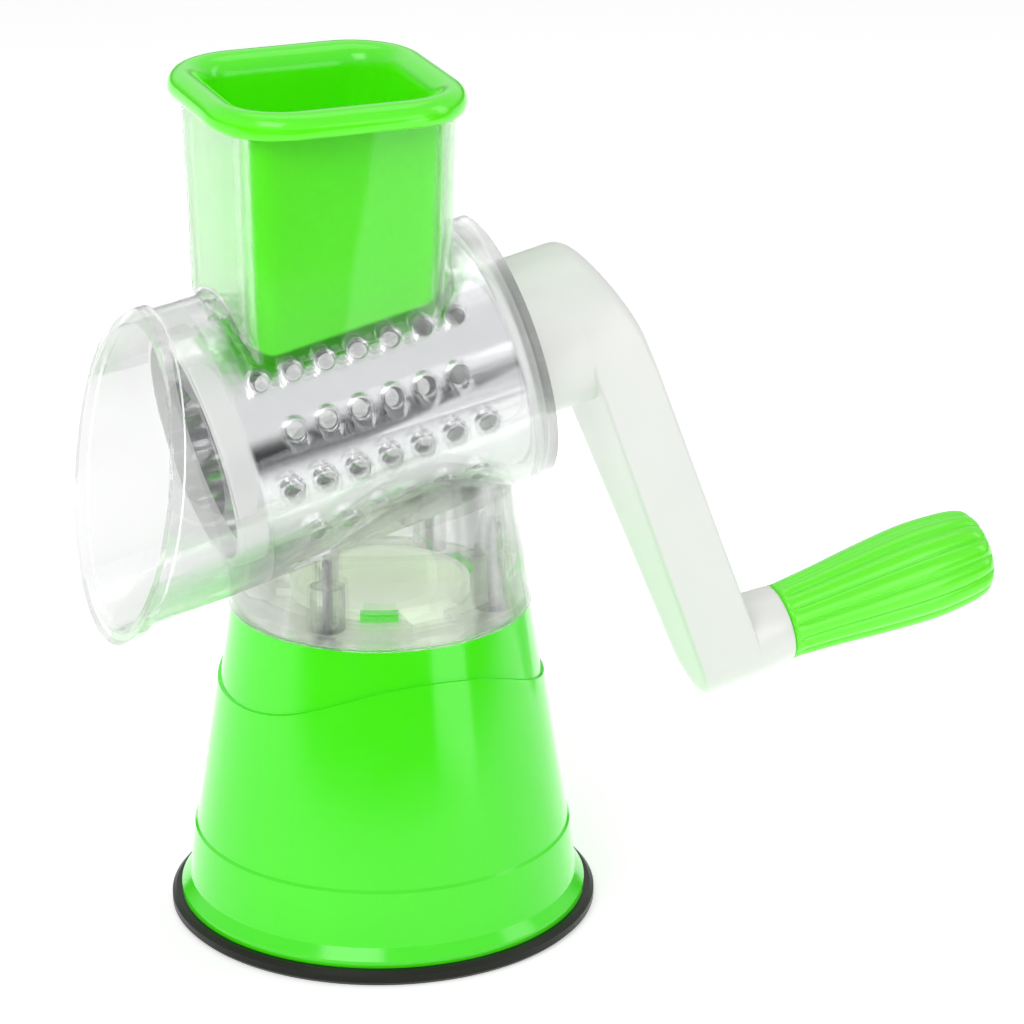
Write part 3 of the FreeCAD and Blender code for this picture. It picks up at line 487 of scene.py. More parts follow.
@dataclass
class DrumTeeth:
    """The raised cutting lips round the drum's holes.

    Args:
        finish: The finish of the sheet.
        radius: The drum's outer radius.
        rows: How many rows run along the drum.
        in_row: How many holes a row has.
        pitch: From hole to hole along a row.
        start: Where a row starts along the axis.
        row_turn: Where the first row lies round the drum, in degrees.
        half_width: Half a lip's width along the drum.
        up_reach: How far a lip reaches round the drum on its low side.
        down_reach: How far it reaches on its high side.
        opening: The hole's radius.
        lip_height: How far a lip stands out.
        lip: The lip's section, as shares of the way in and of its height.
        sunk: How far the lip's inner end lies under the sheet's face.
        proud: How far the lip lies clear of the sheet.
        mean_cut: The lip's mean height as a share.
        swing: How much the height changes from the low side to the high side.
        around: How many points a lip has around.
    """

    finish: bpy.types.Material
    radius: float = 0.0335
    rows: int = 13
    in_row: int = 7
    pitch: float = 0.00987
    start: float = -0.0392
    row_turn: float = 4.4
    half_width: float = 0.0039
    up_reach: float = 0.0046
    down_reach: float = 0.0070
    opening: float = 0.0029
    lip_height: float = 0.0015
    lip: tuple[tuple[float, float], ...] = ((0.0, -0.0002), (0.45, 0.35), (0.9, 0.95), (1.0, 0.85))
    sunk: float = 0.0006
    proud: float = 0.00005
    mean_cut: float = 0.55
    swing: float = 0.45
    around: int = 20

    def lip_ring(self, share: float, lift: float | None) -> list[Vector]:
        """One ring of the lip.

        Args:
            share: The share of the way in from the lip's foot to the hole.
            lift: Its share of the lip's height, or None for the inner end under the sheet.

        Returns:
            The ring's points.
        """
        ring = []
        for index in range(self.around):
            turn = math.tau * index / self.around
            aside, upward = math.cos(turn), math.sin(turn)
            reach = self.up_reach if upward < 0 else self.down_reach
            outer = Vector((0, reach * upward, self.half_width * aside))
            inner = Vector((0, self.opening * upward, self.opening * aside))
            point = outer.lerp(inner, share)
            cutting = self.mean_cut - self.swing * upward
            height = -self.sunk if lift is None else self.lip_height * lift * cutting
            sag = self.radius - math.sqrt(self.radius ** 2 - point.y ** 2)
            point.x = self.radius + height - sag + self.proud
            ring.append(point)
        return ring

    def tooth(self) -> bpy.types.Object:
        """One lip, drawn with X outwards, Y round the drum and Z along it.

        Returns:
            The lip's object.
        """
        rings = [self.lip_ring(share, lift) for share, lift in self.lip] + [self.lip_ring(1.0, None)]
        mesh = ring_mesh("drum_tooth", rings)
        mesh.materials.append(self.finish)
        return add_mesh("drum_tooth", mesh)

    def tree(self, tooth: bpy.types.Object) -> bpy.types.NodeTree:
        """Sets the lips out in staggered rows round the drum.

        Args:
            tooth: The lip to repeat.

        Returns:
            The node tree.
        """
        tree = bpy.data.node_groups.new("drum_tooth_rows", "GeometryNodeTree")
        for name, kind in (("Rows", "NodeSocketInt"), ("In Row", "NodeSocketInt"),
                           ("Pitch", "NodeSocketFloat"), ("Start", "NodeSocketFloat"),
                           ("Row Turn", "NodeSocketFloat")):
            tree.interface.new_socket(name, in_out="INPUT", socket_type=kind)
        tree.interface.new_socket("Geometry", in_out="OUTPUT", socket_type="NodeSocketGeometry")
        nodes = tree.nodes
        links = tree.links
        entry = nodes.new("NodeGroupInput").outputs
        points = nodes.new("GeometryNodePoints")
        links.new(reckon(tree, "MULTIPLY", entry["Rows"], entry["In Row"]), points.inputs["Count"])
        index = nodes.new("GeometryNodeInputIndex").outputs[0]
        row = reckon(tree, "FLOOR", reckon(tree, "DIVIDE", index, entry["In Row"]), 0.0)
        column = reckon(tree, "SUBTRACT", index, reckon(tree, "MULTIPLY", row, entry["In Row"]))
        stagger = reckon(tree, "MODULO", row, 2.0)
        place = reckon(tree, "ADD", column, reckon(tree, "MULTIPLY", stagger, 0.5))
        along = reckon(tree, "ADD", entry["Start"], reckon(tree, "MULTIPLY", place, entry["Pitch"]))
        step = reckon(tree, "DIVIDE", math.tau, entry["Rows"])
        angle = reckon(tree, "ADD", reckon(tree, "MULTIPLY", row, step), entry["Row Turn"])
        last = reckon(tree, "SUBTRACT", entry["In Row"], 1.0)
        spare = reckon(tree, "MULTIPLY", stagger, reckon(tree, "GREATER_THAN", place, last))
        position = nodes.new("ShaderNodeCombineXYZ")
        links.new(along, position.inputs["Z"])
        links.new(position.outputs[0], points.inputs["Position"])
        turned = nodes.new("ShaderNodeCombineXYZ")
        links.new(angle, turned.inputs["Z"])
        stored = nodes.new("GeometryNodeStoreNamedAttribute")
        stored.data_type = "FLOAT_VECTOR"
        stored.inputs["Name"].default_value = "turn"
        links.new(points.outputs[0], stored.inputs["Geometry"])
        links.new(turned.outputs[0], stored.inputs["Value"])
        drop = nodes.new("GeometryNodeDeleteGeometry")
        links.new(stored.outputs[0], drop.inputs["Geometry"])
        links.new(spare, drop.inputs["Selection"])
        read = nodes.new("GeometryNodeInputNamedAttribute")
        read.data_type = "FLOAT_VECTOR"
        read.inputs["Name"].default_value = "turn"
        info = nodes.new("GeometryNodeObjectInfo")
        info.inputs["Object"].default_value = tooth
        spread = nodes.new("GeometryNodeInstanceOnPoints")
        links.new(drop.outputs[0], spread.inputs["Points"])
        links.new(info.outputs["Geometry"], spread.inputs["Instance"])
        links.new(read.outputs[0], spread.inputs["Rotation"])
        real = nodes.new("GeometryNodeRealizeInstances")
        links.new(spread.outputs[0], real.inputs[0])
        dress = nodes.new("GeometryNodeSetMaterial")
        dress.inputs["Material"].default_value = self.finish
        links.new(real.outputs[0], dress.inputs["Geometry"])
        links.new(dress.outputs[0], nodes.new("NodeGroupOutput").inputs[0])
        return tree

    def build(self) -> bpy.types.Object:
        """Makes the lips as one mesh on the drum.

        Returns:
            The piece.
        """
        tooth = self.tooth()
        tree = self.tree(tooth)
        holder = add_mesh("drum_tooth_holder", bpy.data.meshes.new("drum_tooth_holder"))
        modifier = holder.modifiers.new("rows", "NODES")
        modifier.node_group = tree
        values = {"Rows": self.rows, "In Row": self.in_row, "Pitch": self.pitch, "Start": self.start,
                  "Row Turn": math.radians(self.row_turn)}
        for socket in tree.interface.items_tree:
            if socket.in_out == "INPUT":
                modifier[socket.identifier] = values[socket.name]
        bpy.context.view_layer.update()
        seen = holder.evaluated_get(bpy.context.evaluated_depsgraph_get())
        mesh = bpy.data.meshes.new_from_object(seen)
        for item in (holder, tooth):
            bpy.data.objects.remove(item)
        mesh.name = "drum_teeth"
        mesh.transform(AXIS.place())
        piece = add_mesh("drum_teeth", mesh)
        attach(piece, "drum")
        log.info("drum_teeth: %d faces", len(mesh.polygons))
        return piece


@dataclass
class Grip:
    """The fluted grip that turns on the handle pin.

    Args:
        finish: Its finish.
        start: Where it starts along the shaft's direction.
        length: Its length up to the rounded end.
        bore: The radius of the hole for the pin.
        flutes: How many flutes it has.
        depth: How deep they are.
        fullness: How full the ribs between the flutes are, where less is fuller.
        fade: The share of the length over which the flutes run out at each end.
        fade_end: Where the flutes would end, as a share of the length.
        bunch: How much closer the rings lie towards the end.
        around: How many points a ring has.
        along: How many rings there are.
        profile: The plain form, as shares of the length with their radii.
        cap: The rounded end, as radii with how far they lie past the length.
    """

    finish: bpy.types.Material
    start: float = 0.1056
    length: float = 0.0674
    bore: float = 0.00308
    flutes: int = 14
    depth: float = 0.0012
    fullness: float = 0.6
    fade: float = 0.05
    fade_end: float = 1.02
    bunch: float = 1.15
    around: int = 224
    along: int = 60
    profile: tuple[tuple[float, float], ...] = (
        (0.0, 0.0117), (0.03, 0.0118), (0.2, 0.0127), (0.45, 0.0144), (0.68, 0.0155), (0.84, 0.0150),
        (0.93, 0.0140), (0.975, 0.0126), (1.0, 0.0104))
    cap: tuple[tuple[float, float], ...] = (
        (0.0088, 0.0005), (0.0062, 0.00085), (0.0030, 0.0010), (0.0006, 0.00105))

    def radius(self, share: float) -> float:
        """The grip's plain radius, on a smooth curve through the profile.

        Args:
            share: The place along the grip from 0 to 1.

        Returns:
            The radius in metres.
        """
        stations = self.profile
        for index, (low, high) in enumerate(zip(stations, stations[1:])):
            if share <= high[0]:
                before = stations[max(index - 1, 0)]
                after = stations[min(index + 2, len(stations) - 1)]
                width = high[0] - low[0]
                first = (high[1] - before[1]) / (high[0] - before[0]) * width
                last = (after[1] - low[1]) / (after[0] - low[0]) * width
                part = (share - low[0]) / width
                square, cube = part ** 2, part ** 3
                return (low[1] * (2 * cube - 3 * square + 1) + first * (cube - 2 * square + part)
                        + high[1] * (3 * square - 2 * cube) + last * (cube - square))
        return stations[-1][1]

    def fluted_ring(self, share: float) -> list[Vector]:
        """One ring of the grip with its flutes.

        Args:
            share: The place along the grip from 0 to 1.

        Returns:
            The ring's points.
        """
        depth = self.depth * min(1.0, share / self.fade) * min(1.0, (self.fade_end - share) / self.fade)
        height = self.start + self.length * share
        ring = []
        for index in range(self.around):
            turn = math.tau * index / self.around
            rib = abs(math.sin(self.flutes * turn / 2)) ** self.fullness
            radius = self.radius(share) - depth * (1 - rib)
            ring.append(Vector((radius * math.cos(turn), radius * math.sin(turn), height)))
        return ring

    def build(self) -> bpy.types.Object:
        """Makes the grip.

        Returns:
            The piece.
        """
        rings = [circle(self.bore, self.start, self.around)]
        for step in range(self.along + 1):
            rings.append(self.fluted_ring(1 - (1 - step / self.along) ** self.bunch))
        end = self.start + self.length
        rings.extend(circle(radius, end + past, self.around) for radius, past in self.cap)
        mesh = ring_mesh("grip_body", rings, closed_ends=True)
        piece = finish_piece("grip_body", mesh, self.finish, AXIS.place(AXIS.crank_length))
        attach(piece, "grip")
        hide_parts("grip", "grip_cap")
        return piece


@dataclass
class Pusher:
    """The hollow pusher: tapered walls, arched floor and a rolled rim.

    Args:
        finish: Its finish.
        middle: Where its middle lies along X.
        outer_top: Half the outer width at the rim.
        outer_low: Half the outer width at the low station.
        inner_top: Half the inner width at the rim.
        inner_low: Half the inner width at the low station.
        low: The height of the low station.
        under: The height under the rim.
        rim: The rim's section from inside to outside, as half widths, corner radii and heights.
        rim_x: Half the rim's length.
        rim_y: Half the rim's width.
        outer_round: The outer corners' radius.
        inner_round: The inner corners' radius.
        arch_radius: The radius of the arch under the floor.
        wall: The floor's thickness.
        fillet: The height of the rounding between floor and wall.
        fillet_low: How high the rounding is where it starts, as a share.
        fillet_inset: How far the rounding's start lies in from the wall.
        edge: The height of the outer edge's rounding.
        edge_inset: The same across.
        inner_stations: The heights of the inner wall's rings.
        outer_stations: The heights of the outer wall's rings.
        floor_shares: The floor's rings, as shares of its half width.
        arch_shares: The arch's rings, as shares of its half width.
        corner: How many steps a corner has.
        side: How many steps a straight side has.
    """

    finish: bpy.types.Material
    middle: float = -0.0171
    outer_top: float = 0.02945
    outer_low: float = 0.0278
    inner_top: float = 0.0272
    inner_low: float = 0.0257
    low: float = 0.190
    under: float = 0.2484
    rim: tuple[Triple, ...] = (
        (0.0273, 0.0110, 0.2430), (0.02745, 0.0112, 0.2464), (0.0278, 0.0116, 0.2483),
        (0.0285, 0.0125, 0.2499), (0.0295, 0.0137, 0.2511), (0.0308, 0.0152, 0.2520),
        (0.0324, 0.0172, 0.2525), (0.0340, 0.0192, 0.2525), (0.0354, 0.0210, 0.2520),
        (0.0365, 0.0224, 0.2511), (0.0372, 0.0233, 0.2499), (0.0376, 0.0238, 0.2485),
        (0.0376, 0.0238, 0.2472), (0.0371, 0.0228, 0.2462), (0.0363, 0.0207, 0.2456),
        (0.0351, 0.0170, 0.2453), (0.0338, 0.0125, 0.2453), (0.0331, 0.0102, 0.2456),
        (0.0329, 0.0098, 0.2463), (0.0329, 0.0098, 0.2484), (0.0310, 0.0075, 0.2484))
    rim_x: float = 0.0376
    rim_y: float = 0.0388
    outer_round: float = 0.0063
    inner_round: float = 0.0105
    arch_radius: float = 0.041
    wall: float = 0.0019
    fillet: float = 0.0015
    fillet_low: float = 0.35
    fillet_inset: float = 0.0002
    edge: float = 0.001
    edge_inset: float = 0.0003
    inner_stations: tuple[float, ...] = (0.214, 0.225, 0.234, 0.239)
    outer_stations: tuple[float, ...] = (0.240, 0.228, 0.216, 0.208)
    floor_shares: tuple[float, ...] = (0.02, 0.25, 0.5, 0.75, 0.93)
    arch_shares: tuple[float, ...] = (0.96, 0.75, 0.5, 0.25, 0.02)
    corner: int = 12
    side: int = 10

    def rounded(self, half_x: float, half_y: float, radius: float, height: float | Surface) -> list[Vector]:
        """One ring: a rectangle with rounded corners.

        Args:
            half_x: Half its length.
            half_y: Half its width.
            radius: Its corner radius.
            height: Its height, or a function of across and aside that gives it.

        Returns:
            The ring's points.
        """
        outline: list[tuple[float, float]] = []
        radius = min(radius, half_x - self.fillet_inset, half_y - self.fillet_inset)
        turns = ((1, 1, 0), (-1, 1, 90), (-1, -1, 180), (1, -1, 270))

        def corner_point(number: int, degrees: float) -> tuple[float, float]:
            """A point of one corner.

            Args:
                number: The corner's number.
                degrees: How far round the corner it lies.

            Returns:
                The point as across and aside.
            """
            toward_x, toward_y, start = turns[number % 4]
            turn = math.radians(start + degrees)
            return (toward_x * (half_x - radius) + radius * math.cos(turn),
                    toward_y * (half_y - radius) + radius * math.sin(turn))

        for number in range(4):
            outline.extend(corner_point(number, 90 * step / self.corner) for step in range(self.corner + 1))
            last, first = outline[-1], corner_point(number + 1, 0.0)
            for step in range(1, self.side):
                part = step / self.side
                outline.append((last[0] + (first[0] - last[0]) * part, last[1] + (first[1] - last[1]) * part))
        ring = []
        for across, aside in outline:
            rise = height(self.middle + across, aside) if callable(height) else height
            ring.append(Vector((self.middle + across, aside, rise)))
        return ring

    def square(self, half: float, radius: float, height: float | Surface) -> list[Vector]:
        """A ring that is as wide as it is long; the arguments are those of rounded."""
        return self.rounded(half, half, radius, height)

    def arched(self, radius: float, above: float = 0.0) -> Surface:
        """The height of a round form along the barrel's axis.

        Args:
            radius: The form's radius.
            above: How far the surface lies above the form.

        Returns:
            A function of across and aside that gives the height.
        """
        tilt = math.radians(AXIS.tilt)

        def height(across: float, aside: float) -> float:
            """The surface's height at one place.

            Args:
                across: The place along X.
                aside: The place along Y.

            Returns:
                The height.
            """
            rise = across * math.sin(tilt) + math.sqrt(radius ** 2 - aside ** 2)
            return AXIS.height + rise / math.cos(tilt) + above

        return height

    def half_at(self, height: float, top: float, low: float) -> float:
        """Half the width of a tapered wall at a height.

        Args:
            height: The height.
            top: Half the width at the rim.
            low: Half the width at the low station.

        Returns:
            Half the width.
        """
        return low + (top - low) * (height - self.low) / (self.under - self.low)

    def inside(self) -> list[list[Vector]]:
        """The rings of the floor and the inner wall, from the middle up.

        Returns:
            The rings.
        """
        radius = self.arch_radius + self.wall
        half, corner = self.inner_low, self.inner_round
        rings = [self.square(half * share, corner * share, self.arched(radius))
                 for share in self.floor_shares]
        start = self.arched(radius, self.fillet * self.fillet_low)
        rings.append(self.square(half - self.fillet_inset, corner, start))
        rings.append(self.square(half, corner, self.arched(radius, self.fillet)))
        for height in self.inner_stations:
            rings.append(self.square(self.half_at(height, self.inner_top, self.inner_low), corner, height))
        return rings

    def outside(self) -> list[list[Vector]]:
        """The rings of the outer wall and the arch, from the rim down to the middle.

        Returns:
            The rings.
        """
        rings = []
        for height in (self.under, *self.outer_stations):
            half = self.half_at(height, self.outer_top, self.outer_low)
            rings.append(self.square(half, self.outer_round, height))
        half, corner, radius = self.outer_low, self.outer_round, self.arch_radius
        rings.append(self.square(half, corner, self.arched(radius, self.edge)))
        rings.append(self.square(half - self.edge_inset, corner, self.arched(radius, self.edge_inset)))
        rings.extend(self.square(half * share, corner * share, self.arched(radius))
                     for share in self.arch_shares)
        return rings

    def build(self) -> bpy.types.Object:
        """Makes the pusher.

        Returns:
            The piece.
        """
        rings = self.inside()
        widen = (self.rim_y - self.inner_top) / (self.rim_x - self.inner_top)
        for half_x, corner, height in self.rim:
            half_y = self.inner_top + (half_x - self.inner_top) * widen
            rings.append(self.rounded(half_x, half_y, corner, height))
        rings.extend(self.outside())
        mesh = ring_mesh("pusher_body", rings, closed_ends=True)
        piece = finish_piece("pusher_body", mesh, self.finish, sharp=50)
        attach(piece, "pusher")
        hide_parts("pusher")
        return piece


@dataclass
class Crank:
    """The white crank: square drive, journal, hub, slanted arm and the collar that meets the grip.

    Args:
        finish: Its finish.
        square_half: Half the width of the square drive.
        square_start: Where the drive starts along the shaft.
        square_round: The rounding of its edges.
        journal_radius: The journal's radius.
        journal_start: Where the journal starts.
        journal_round: The rounding of its end.
        hub_radius: The hub's radius.
        hub_start: Where the hub starts.
        hub_round: The rounding of its edge.
        hub_overlap: How far the hub runs into the arm.
        hub_clear: How far the hub lies inside the arm's outline.
        tip: The radius of the smallest ring.
        arm_inner: The height of the arm's inner face at the shaft.
        thickness: The arm's thickness.
        thinning: How much thinner it is at the hub than at the grip.
        slope: How much the arm rises for each metre down.
        length: From the shaft to the grip's axis.
        end_radius: The radius of the arm's end.
        edge_round: The rounding of the arm's edges.
        heel_round: The rounding of the outer edge at the heel.
        heel_start: Where the heel's rounding starts to grow.
        heel_span: Over what length it grows.
        roll_start: Where the outer face starts to roll off.
        roll: How fast it rolls off.
        collar_end: Where the collar ends.
        collar_bore: The radius of the collar's hole.
        collar_sunk: How far the collar runs into the arm.
        steps: How many steps a straight side of the arm has.
        around: How many points a round form has.
    """

    finish: bpy.types.Material
    square_half: float = 0.0062
    square_start: float = 0.0280
    square_round: float = 0.0004
    journal_radius: float = 0.009
    journal_start: float = 0.0355
    journal_round: float = 0.0003
    hub_radius: float = 0.0235
    hub_start: float = 0.041
    hub_round: float = 0.0012
    hub_overlap: float = 0.004
    hub_clear: float = 0.00005
    tip: float = 0.0004
    arm_inner: float = 0.056
    thickness: float = 0.020
    thinning: float = 0.0018
    slope: float = 0.153
    length: float = 0.116
    end_radius: float = 0.0126
    edge_round: float = 0.0013
    heel_round: float = 0.0048
    heel_start: float = 0.012
    heel_span: float = 0.034
    roll_start: float = 0.010
    roll: float = 4.5
    collar_end: float = 0.1052
    collar_bore: float = 0.0031
    collar_sunk: float = 0.003
    steps: int = 10
    around: int = 96

    def arc(self, middle: float, radius: float, start: float, sweep: float, count: int) -> list[OutlinePoint]:
        """An arc of the arm's outline.

        Args:
            middle: Where its middle lies below the shaft.
            radius: Its radius.
            start: The angle where it starts, in degrees.
            sweep: The angle that it covers, in degrees.
            count: How many steps it has.

        Returns:
            Its points with their outward directions.
        """
        places = []
        for step in range(count + 1):
            turn = math.radians(start + sweep * step / count)
            way = Vector((math.cos(turn), math.sin(turn), 0))
            places.append((Vector((middle, 0, 0)) + way * radius, way))
        return places

    def straight(self, first: OutlinePoint, last: OutlinePoint) -> list[OutlinePoint]:
        """The points between two others, with the outward direction of the last.

        Args:
            first: The point and direction before them.
            last: The point and direction after them.

        Returns:
            The points and directions.
        """
        return [(first[0].lerp(last[0], step / self.steps), last[1]) for step in range(1, self.steps)]

    def outline(self) -> list[OutlinePoint]:
        """The arm seen along the shaft, as points with their outward directions.

        Returns:
            The points and directions.
        """
        high = 90 - math.degrees(math.asin((self.hub_radius - self.end_radius) / self.length))
        near = self.arc(0.0, self.hub_radius, high, 360 - 2 * high, 4 * self.steps)
        far = self.arc(self.length, self.end_radius, -high, 2 * high, 2 * self.steps)
        return near + self.straight(near[-1], far[0]) + far + self.straight(far[-1], near[0])

    def bottom(self, down: float) -> float:
        """The height of the arm's inner face at a distance below the shaft."""
        return self.arm_inner + self.slope * down

    def top(self, down: float) -> float:
        """The height of the arm's outer face, rolling off over the heel.

        Args:
            down: The distance from the shaft towards the grip.

        Returns:
            The height along the shaft.
        """
        flat = self.bottom(down) + self.thickness - self.thinning * (1 - down / self.length)
        return flat - self.roll * max(0.0, self.roll_start - down) ** 2

    def rounding(self, down: float) -> float:
        """The rounding of the arm's outer edge, larger at the heel.

        Args:
            down: The distance from the shaft towards the grip.

        Returns:
            The rounding's radius.
        """
        share = min(1.0, max(0.0, (self.heel_start - down) / self.heel_span))
        share = share * share * (3 - 2 * share)
        return self.edge_round + (self.heel_round - self.edge_round) * share

    def face_ring(self, share: float, outer: bool) -> list[Vector]:
        """A ring on the arm's inner or outer face.

        Args:
            share: The share of the way from the rounded edge to the centre line.
            outer: Whether it is the outer face.

        Returns:
            The ring's points.
        """
        ring = []
        for point, way in self.outline():
            middle = Vector((min(max(point.x, 0.0), self.length), 0, 0))
            radius = self.rounding(point.x) if outer else self.edge_round
            spot = (point - way * radius).lerp(middle, share)
            ring.append(Vector((spot.x, spot.y, self.top(spot.x) if outer else self.bottom(spot.x))))
        return ring

    def low_edge(self, turn: float) -> list[Vector]:
        """A ring on the rounding of the inner face's edge.

        Args:
            turn: How far round the rounding it lies, in radians.

        Returns:
            The ring's points.
        """
        ring = []
        for point, way in self.outline():
            spot = point - way * self.edge_round * (1 - math.sin(turn))
            height = self.bottom(point.x) + self.edge_round * (1 - math.cos(turn))
            ring.append(Vector((spot.x, spot.y, height)))
        return ring

    def high_edge(self, turn: float) -> list[Vector]:
        """A ring on the rounding of the outer face's edge.

        Args:
            turn: How far round the rounding it lies, in radians.

        Returns:
            The ring's points.
        """
        ring = []
        for point, way in self.outline():
            radius = self.rounding(point.x)
            spot = point - way * radius * (1 - math.cos(turn))
            ring.append(Vector((spot.x, spot.y, self.top(spot.x) - radius * (1 - math.sin(turn)))))
        return ring

    def arm(self) -> bpy.types.Mesh:
        """The arm as a skin from its inner face over its rounded edges to its outer face.

        Returns:
            The mesh.
        """
        quarter = math.pi / 2
        rings = [self.face_ring(share, outer=False) for share in (0.995, 0.6, 0.3, 0.0)]
        rings.extend(self.low_edge(quarter * step / 4) for step in range(1, 5))
        rings.extend(self.high_edge(quarter * step / 8) for step in range(8))
        rings.extend(self.face_ring(share, outer=True) for share in (0.0, 0.2, 0.4, 0.6, 0.8, 0.995))
        return ring_mesh("crank_arm", rings, closed_ends=True)

    def turned(self, name: str, profile: list[tuple[float, float]], down: float = 0.0) -> bpy.types.Mesh:
        """A round form about the shaft or the grip's axis.

        Args:
            name: The mesh's name.
            profile: Radius and height pairs from end to end.
            down: How far below the shaft its axis lies.

        Returns:
            The mesh.
        """
        rings = [circle(radius, height, self.around, down) for radius, height in profile]
        return ring_mesh(name, rings, closed_ends=True)

    def hub(self) -> bpy.types.Mesh:
        """The journal and the hub.

        Returns:
            The mesh.
        """
        radius = self.hub_radius - self.hub_clear
        off, soft = self.hub_round, self.journal_round
        end = self.arm_inner + self.hub_overlap
        return self.turned("crank_hub", [
            (self.tip, self.journal_start), (self.journal_radius - soft, self.journal_start),
            (self.journal_radius, self.journal_start + soft), (self.journal_radius, self.hub_start),
            (radius - off, self.hub_start), (radius - off * 0.3, self.hub_start + off * 0.3),
            (radius, self.hub_start + off), (radius, end), (self.tip, end)])

    def collar(self) -> bpy.types.Mesh:
        """The collar between the arm and the grip.

        Returns:
            The mesh.
        """
        face = self.arm_inner + self.thickness + self.slope * self.length
        foot = face - self.collar_sunk
        return self.turned("crank_collar", [
            (self.collar_bore, foot), (0.0125, foot), (0.0125, face), (0.01235, face + 0.003),
            (0.0121, face + 0.007), (0.0118, self.collar_end - 0.0010), (0.0116, self.collar_end - 0.0003),
            (0.0112, self.collar_end), (self.collar_bore, self.collar_end)], self.length)

    def build(self) -> bpy.types.Object:
        """Makes the crank as one piece.

        Returns:
            The piece.
        """
        work = bmesh.new()
        for mesh in (self.arm(), self.hub(), self.collar()):
            work.from_mesh(mesh)
        square = bmesh.ops.create_cube(work, size=1.0)["verts"]
        tall = self.journal_start + 0.001 - self.square_start
        bmesh.ops.scale(work, verts=square, vec=(self.square_half * 2, self.square_half * 2, tall))
        bmesh.ops.translate(work, verts=square, vec=(0, 0, self.square_start + tall / 2))
        edges = list({edge for vert in square for edge in vert.link_edges})
        bmesh.ops.bevel(work, geom=edges, offset=self.square_round, segments=2, profile=0.5, affect="EDGES")
        mesh = bpy.data.meshes.new("crank_body")
        work.to_mesh(mesh)
        work.free()
        for face in mesh.polygons:
            face.use_smooth = True
        piece = finish_piece("crank_body", mesh, self.finish, AXIS.place(), sharp=40)
        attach(piece, "crank")
        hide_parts("crank")
        return piece


@dataclass(frozen=True)
class Lamp:
    """A soft rectangular lamp, or a white card that only shows as a reflection.

    Args:
        name: Its name.
        place: Its middle in metres.
        width: Its width in metres.
        height: Its height in metres.
        power: Its power in watts.
        aim: The height that it faces, in metres.
        lean: How far it leans to its left, in degrees.
        mirrored: Whether it shows as a reflection.
        card: Whether it shows as a reflection only.
    """

    name: str
    place: Triple
    width: float
    height: float
    power: float
    aim: float = 0.12
    lean: float = 0.0
    mirrored: bool = True
    card: bool = False

    def hang(self) -> bpy.types.Object:
        """Puts the lamp into the scene.

        Returns:
            The lamp.
        """
        light = bpy.data.lights.new(self.name, "AREA")
        light.shape = "RECTANGLE"
        light.size = self.width
        light.size_y = self.height
        light.energy = self.power
        lamp = bpy.data.objects.new(self.name, light)
        place = Vector(self.place)
        facing = (Vector((0.0, 0.0, self.aim)) - place).to_track_quat("-Z", "Y").to_matrix().to_4x4()
        lean = Matrix.Rotation(math.radians(self.lean), 4, "Z")
        lamp.matrix_world = Matrix.Translation(place) @ facing @ lean
        lamp.visible_glossy = self.mirrored
        lamp.visible_diffuse = not self.card
        lamp.visible_transmission = not self.card
        bpy.context.scene.collection.objects.link(lamp)
        return lamp


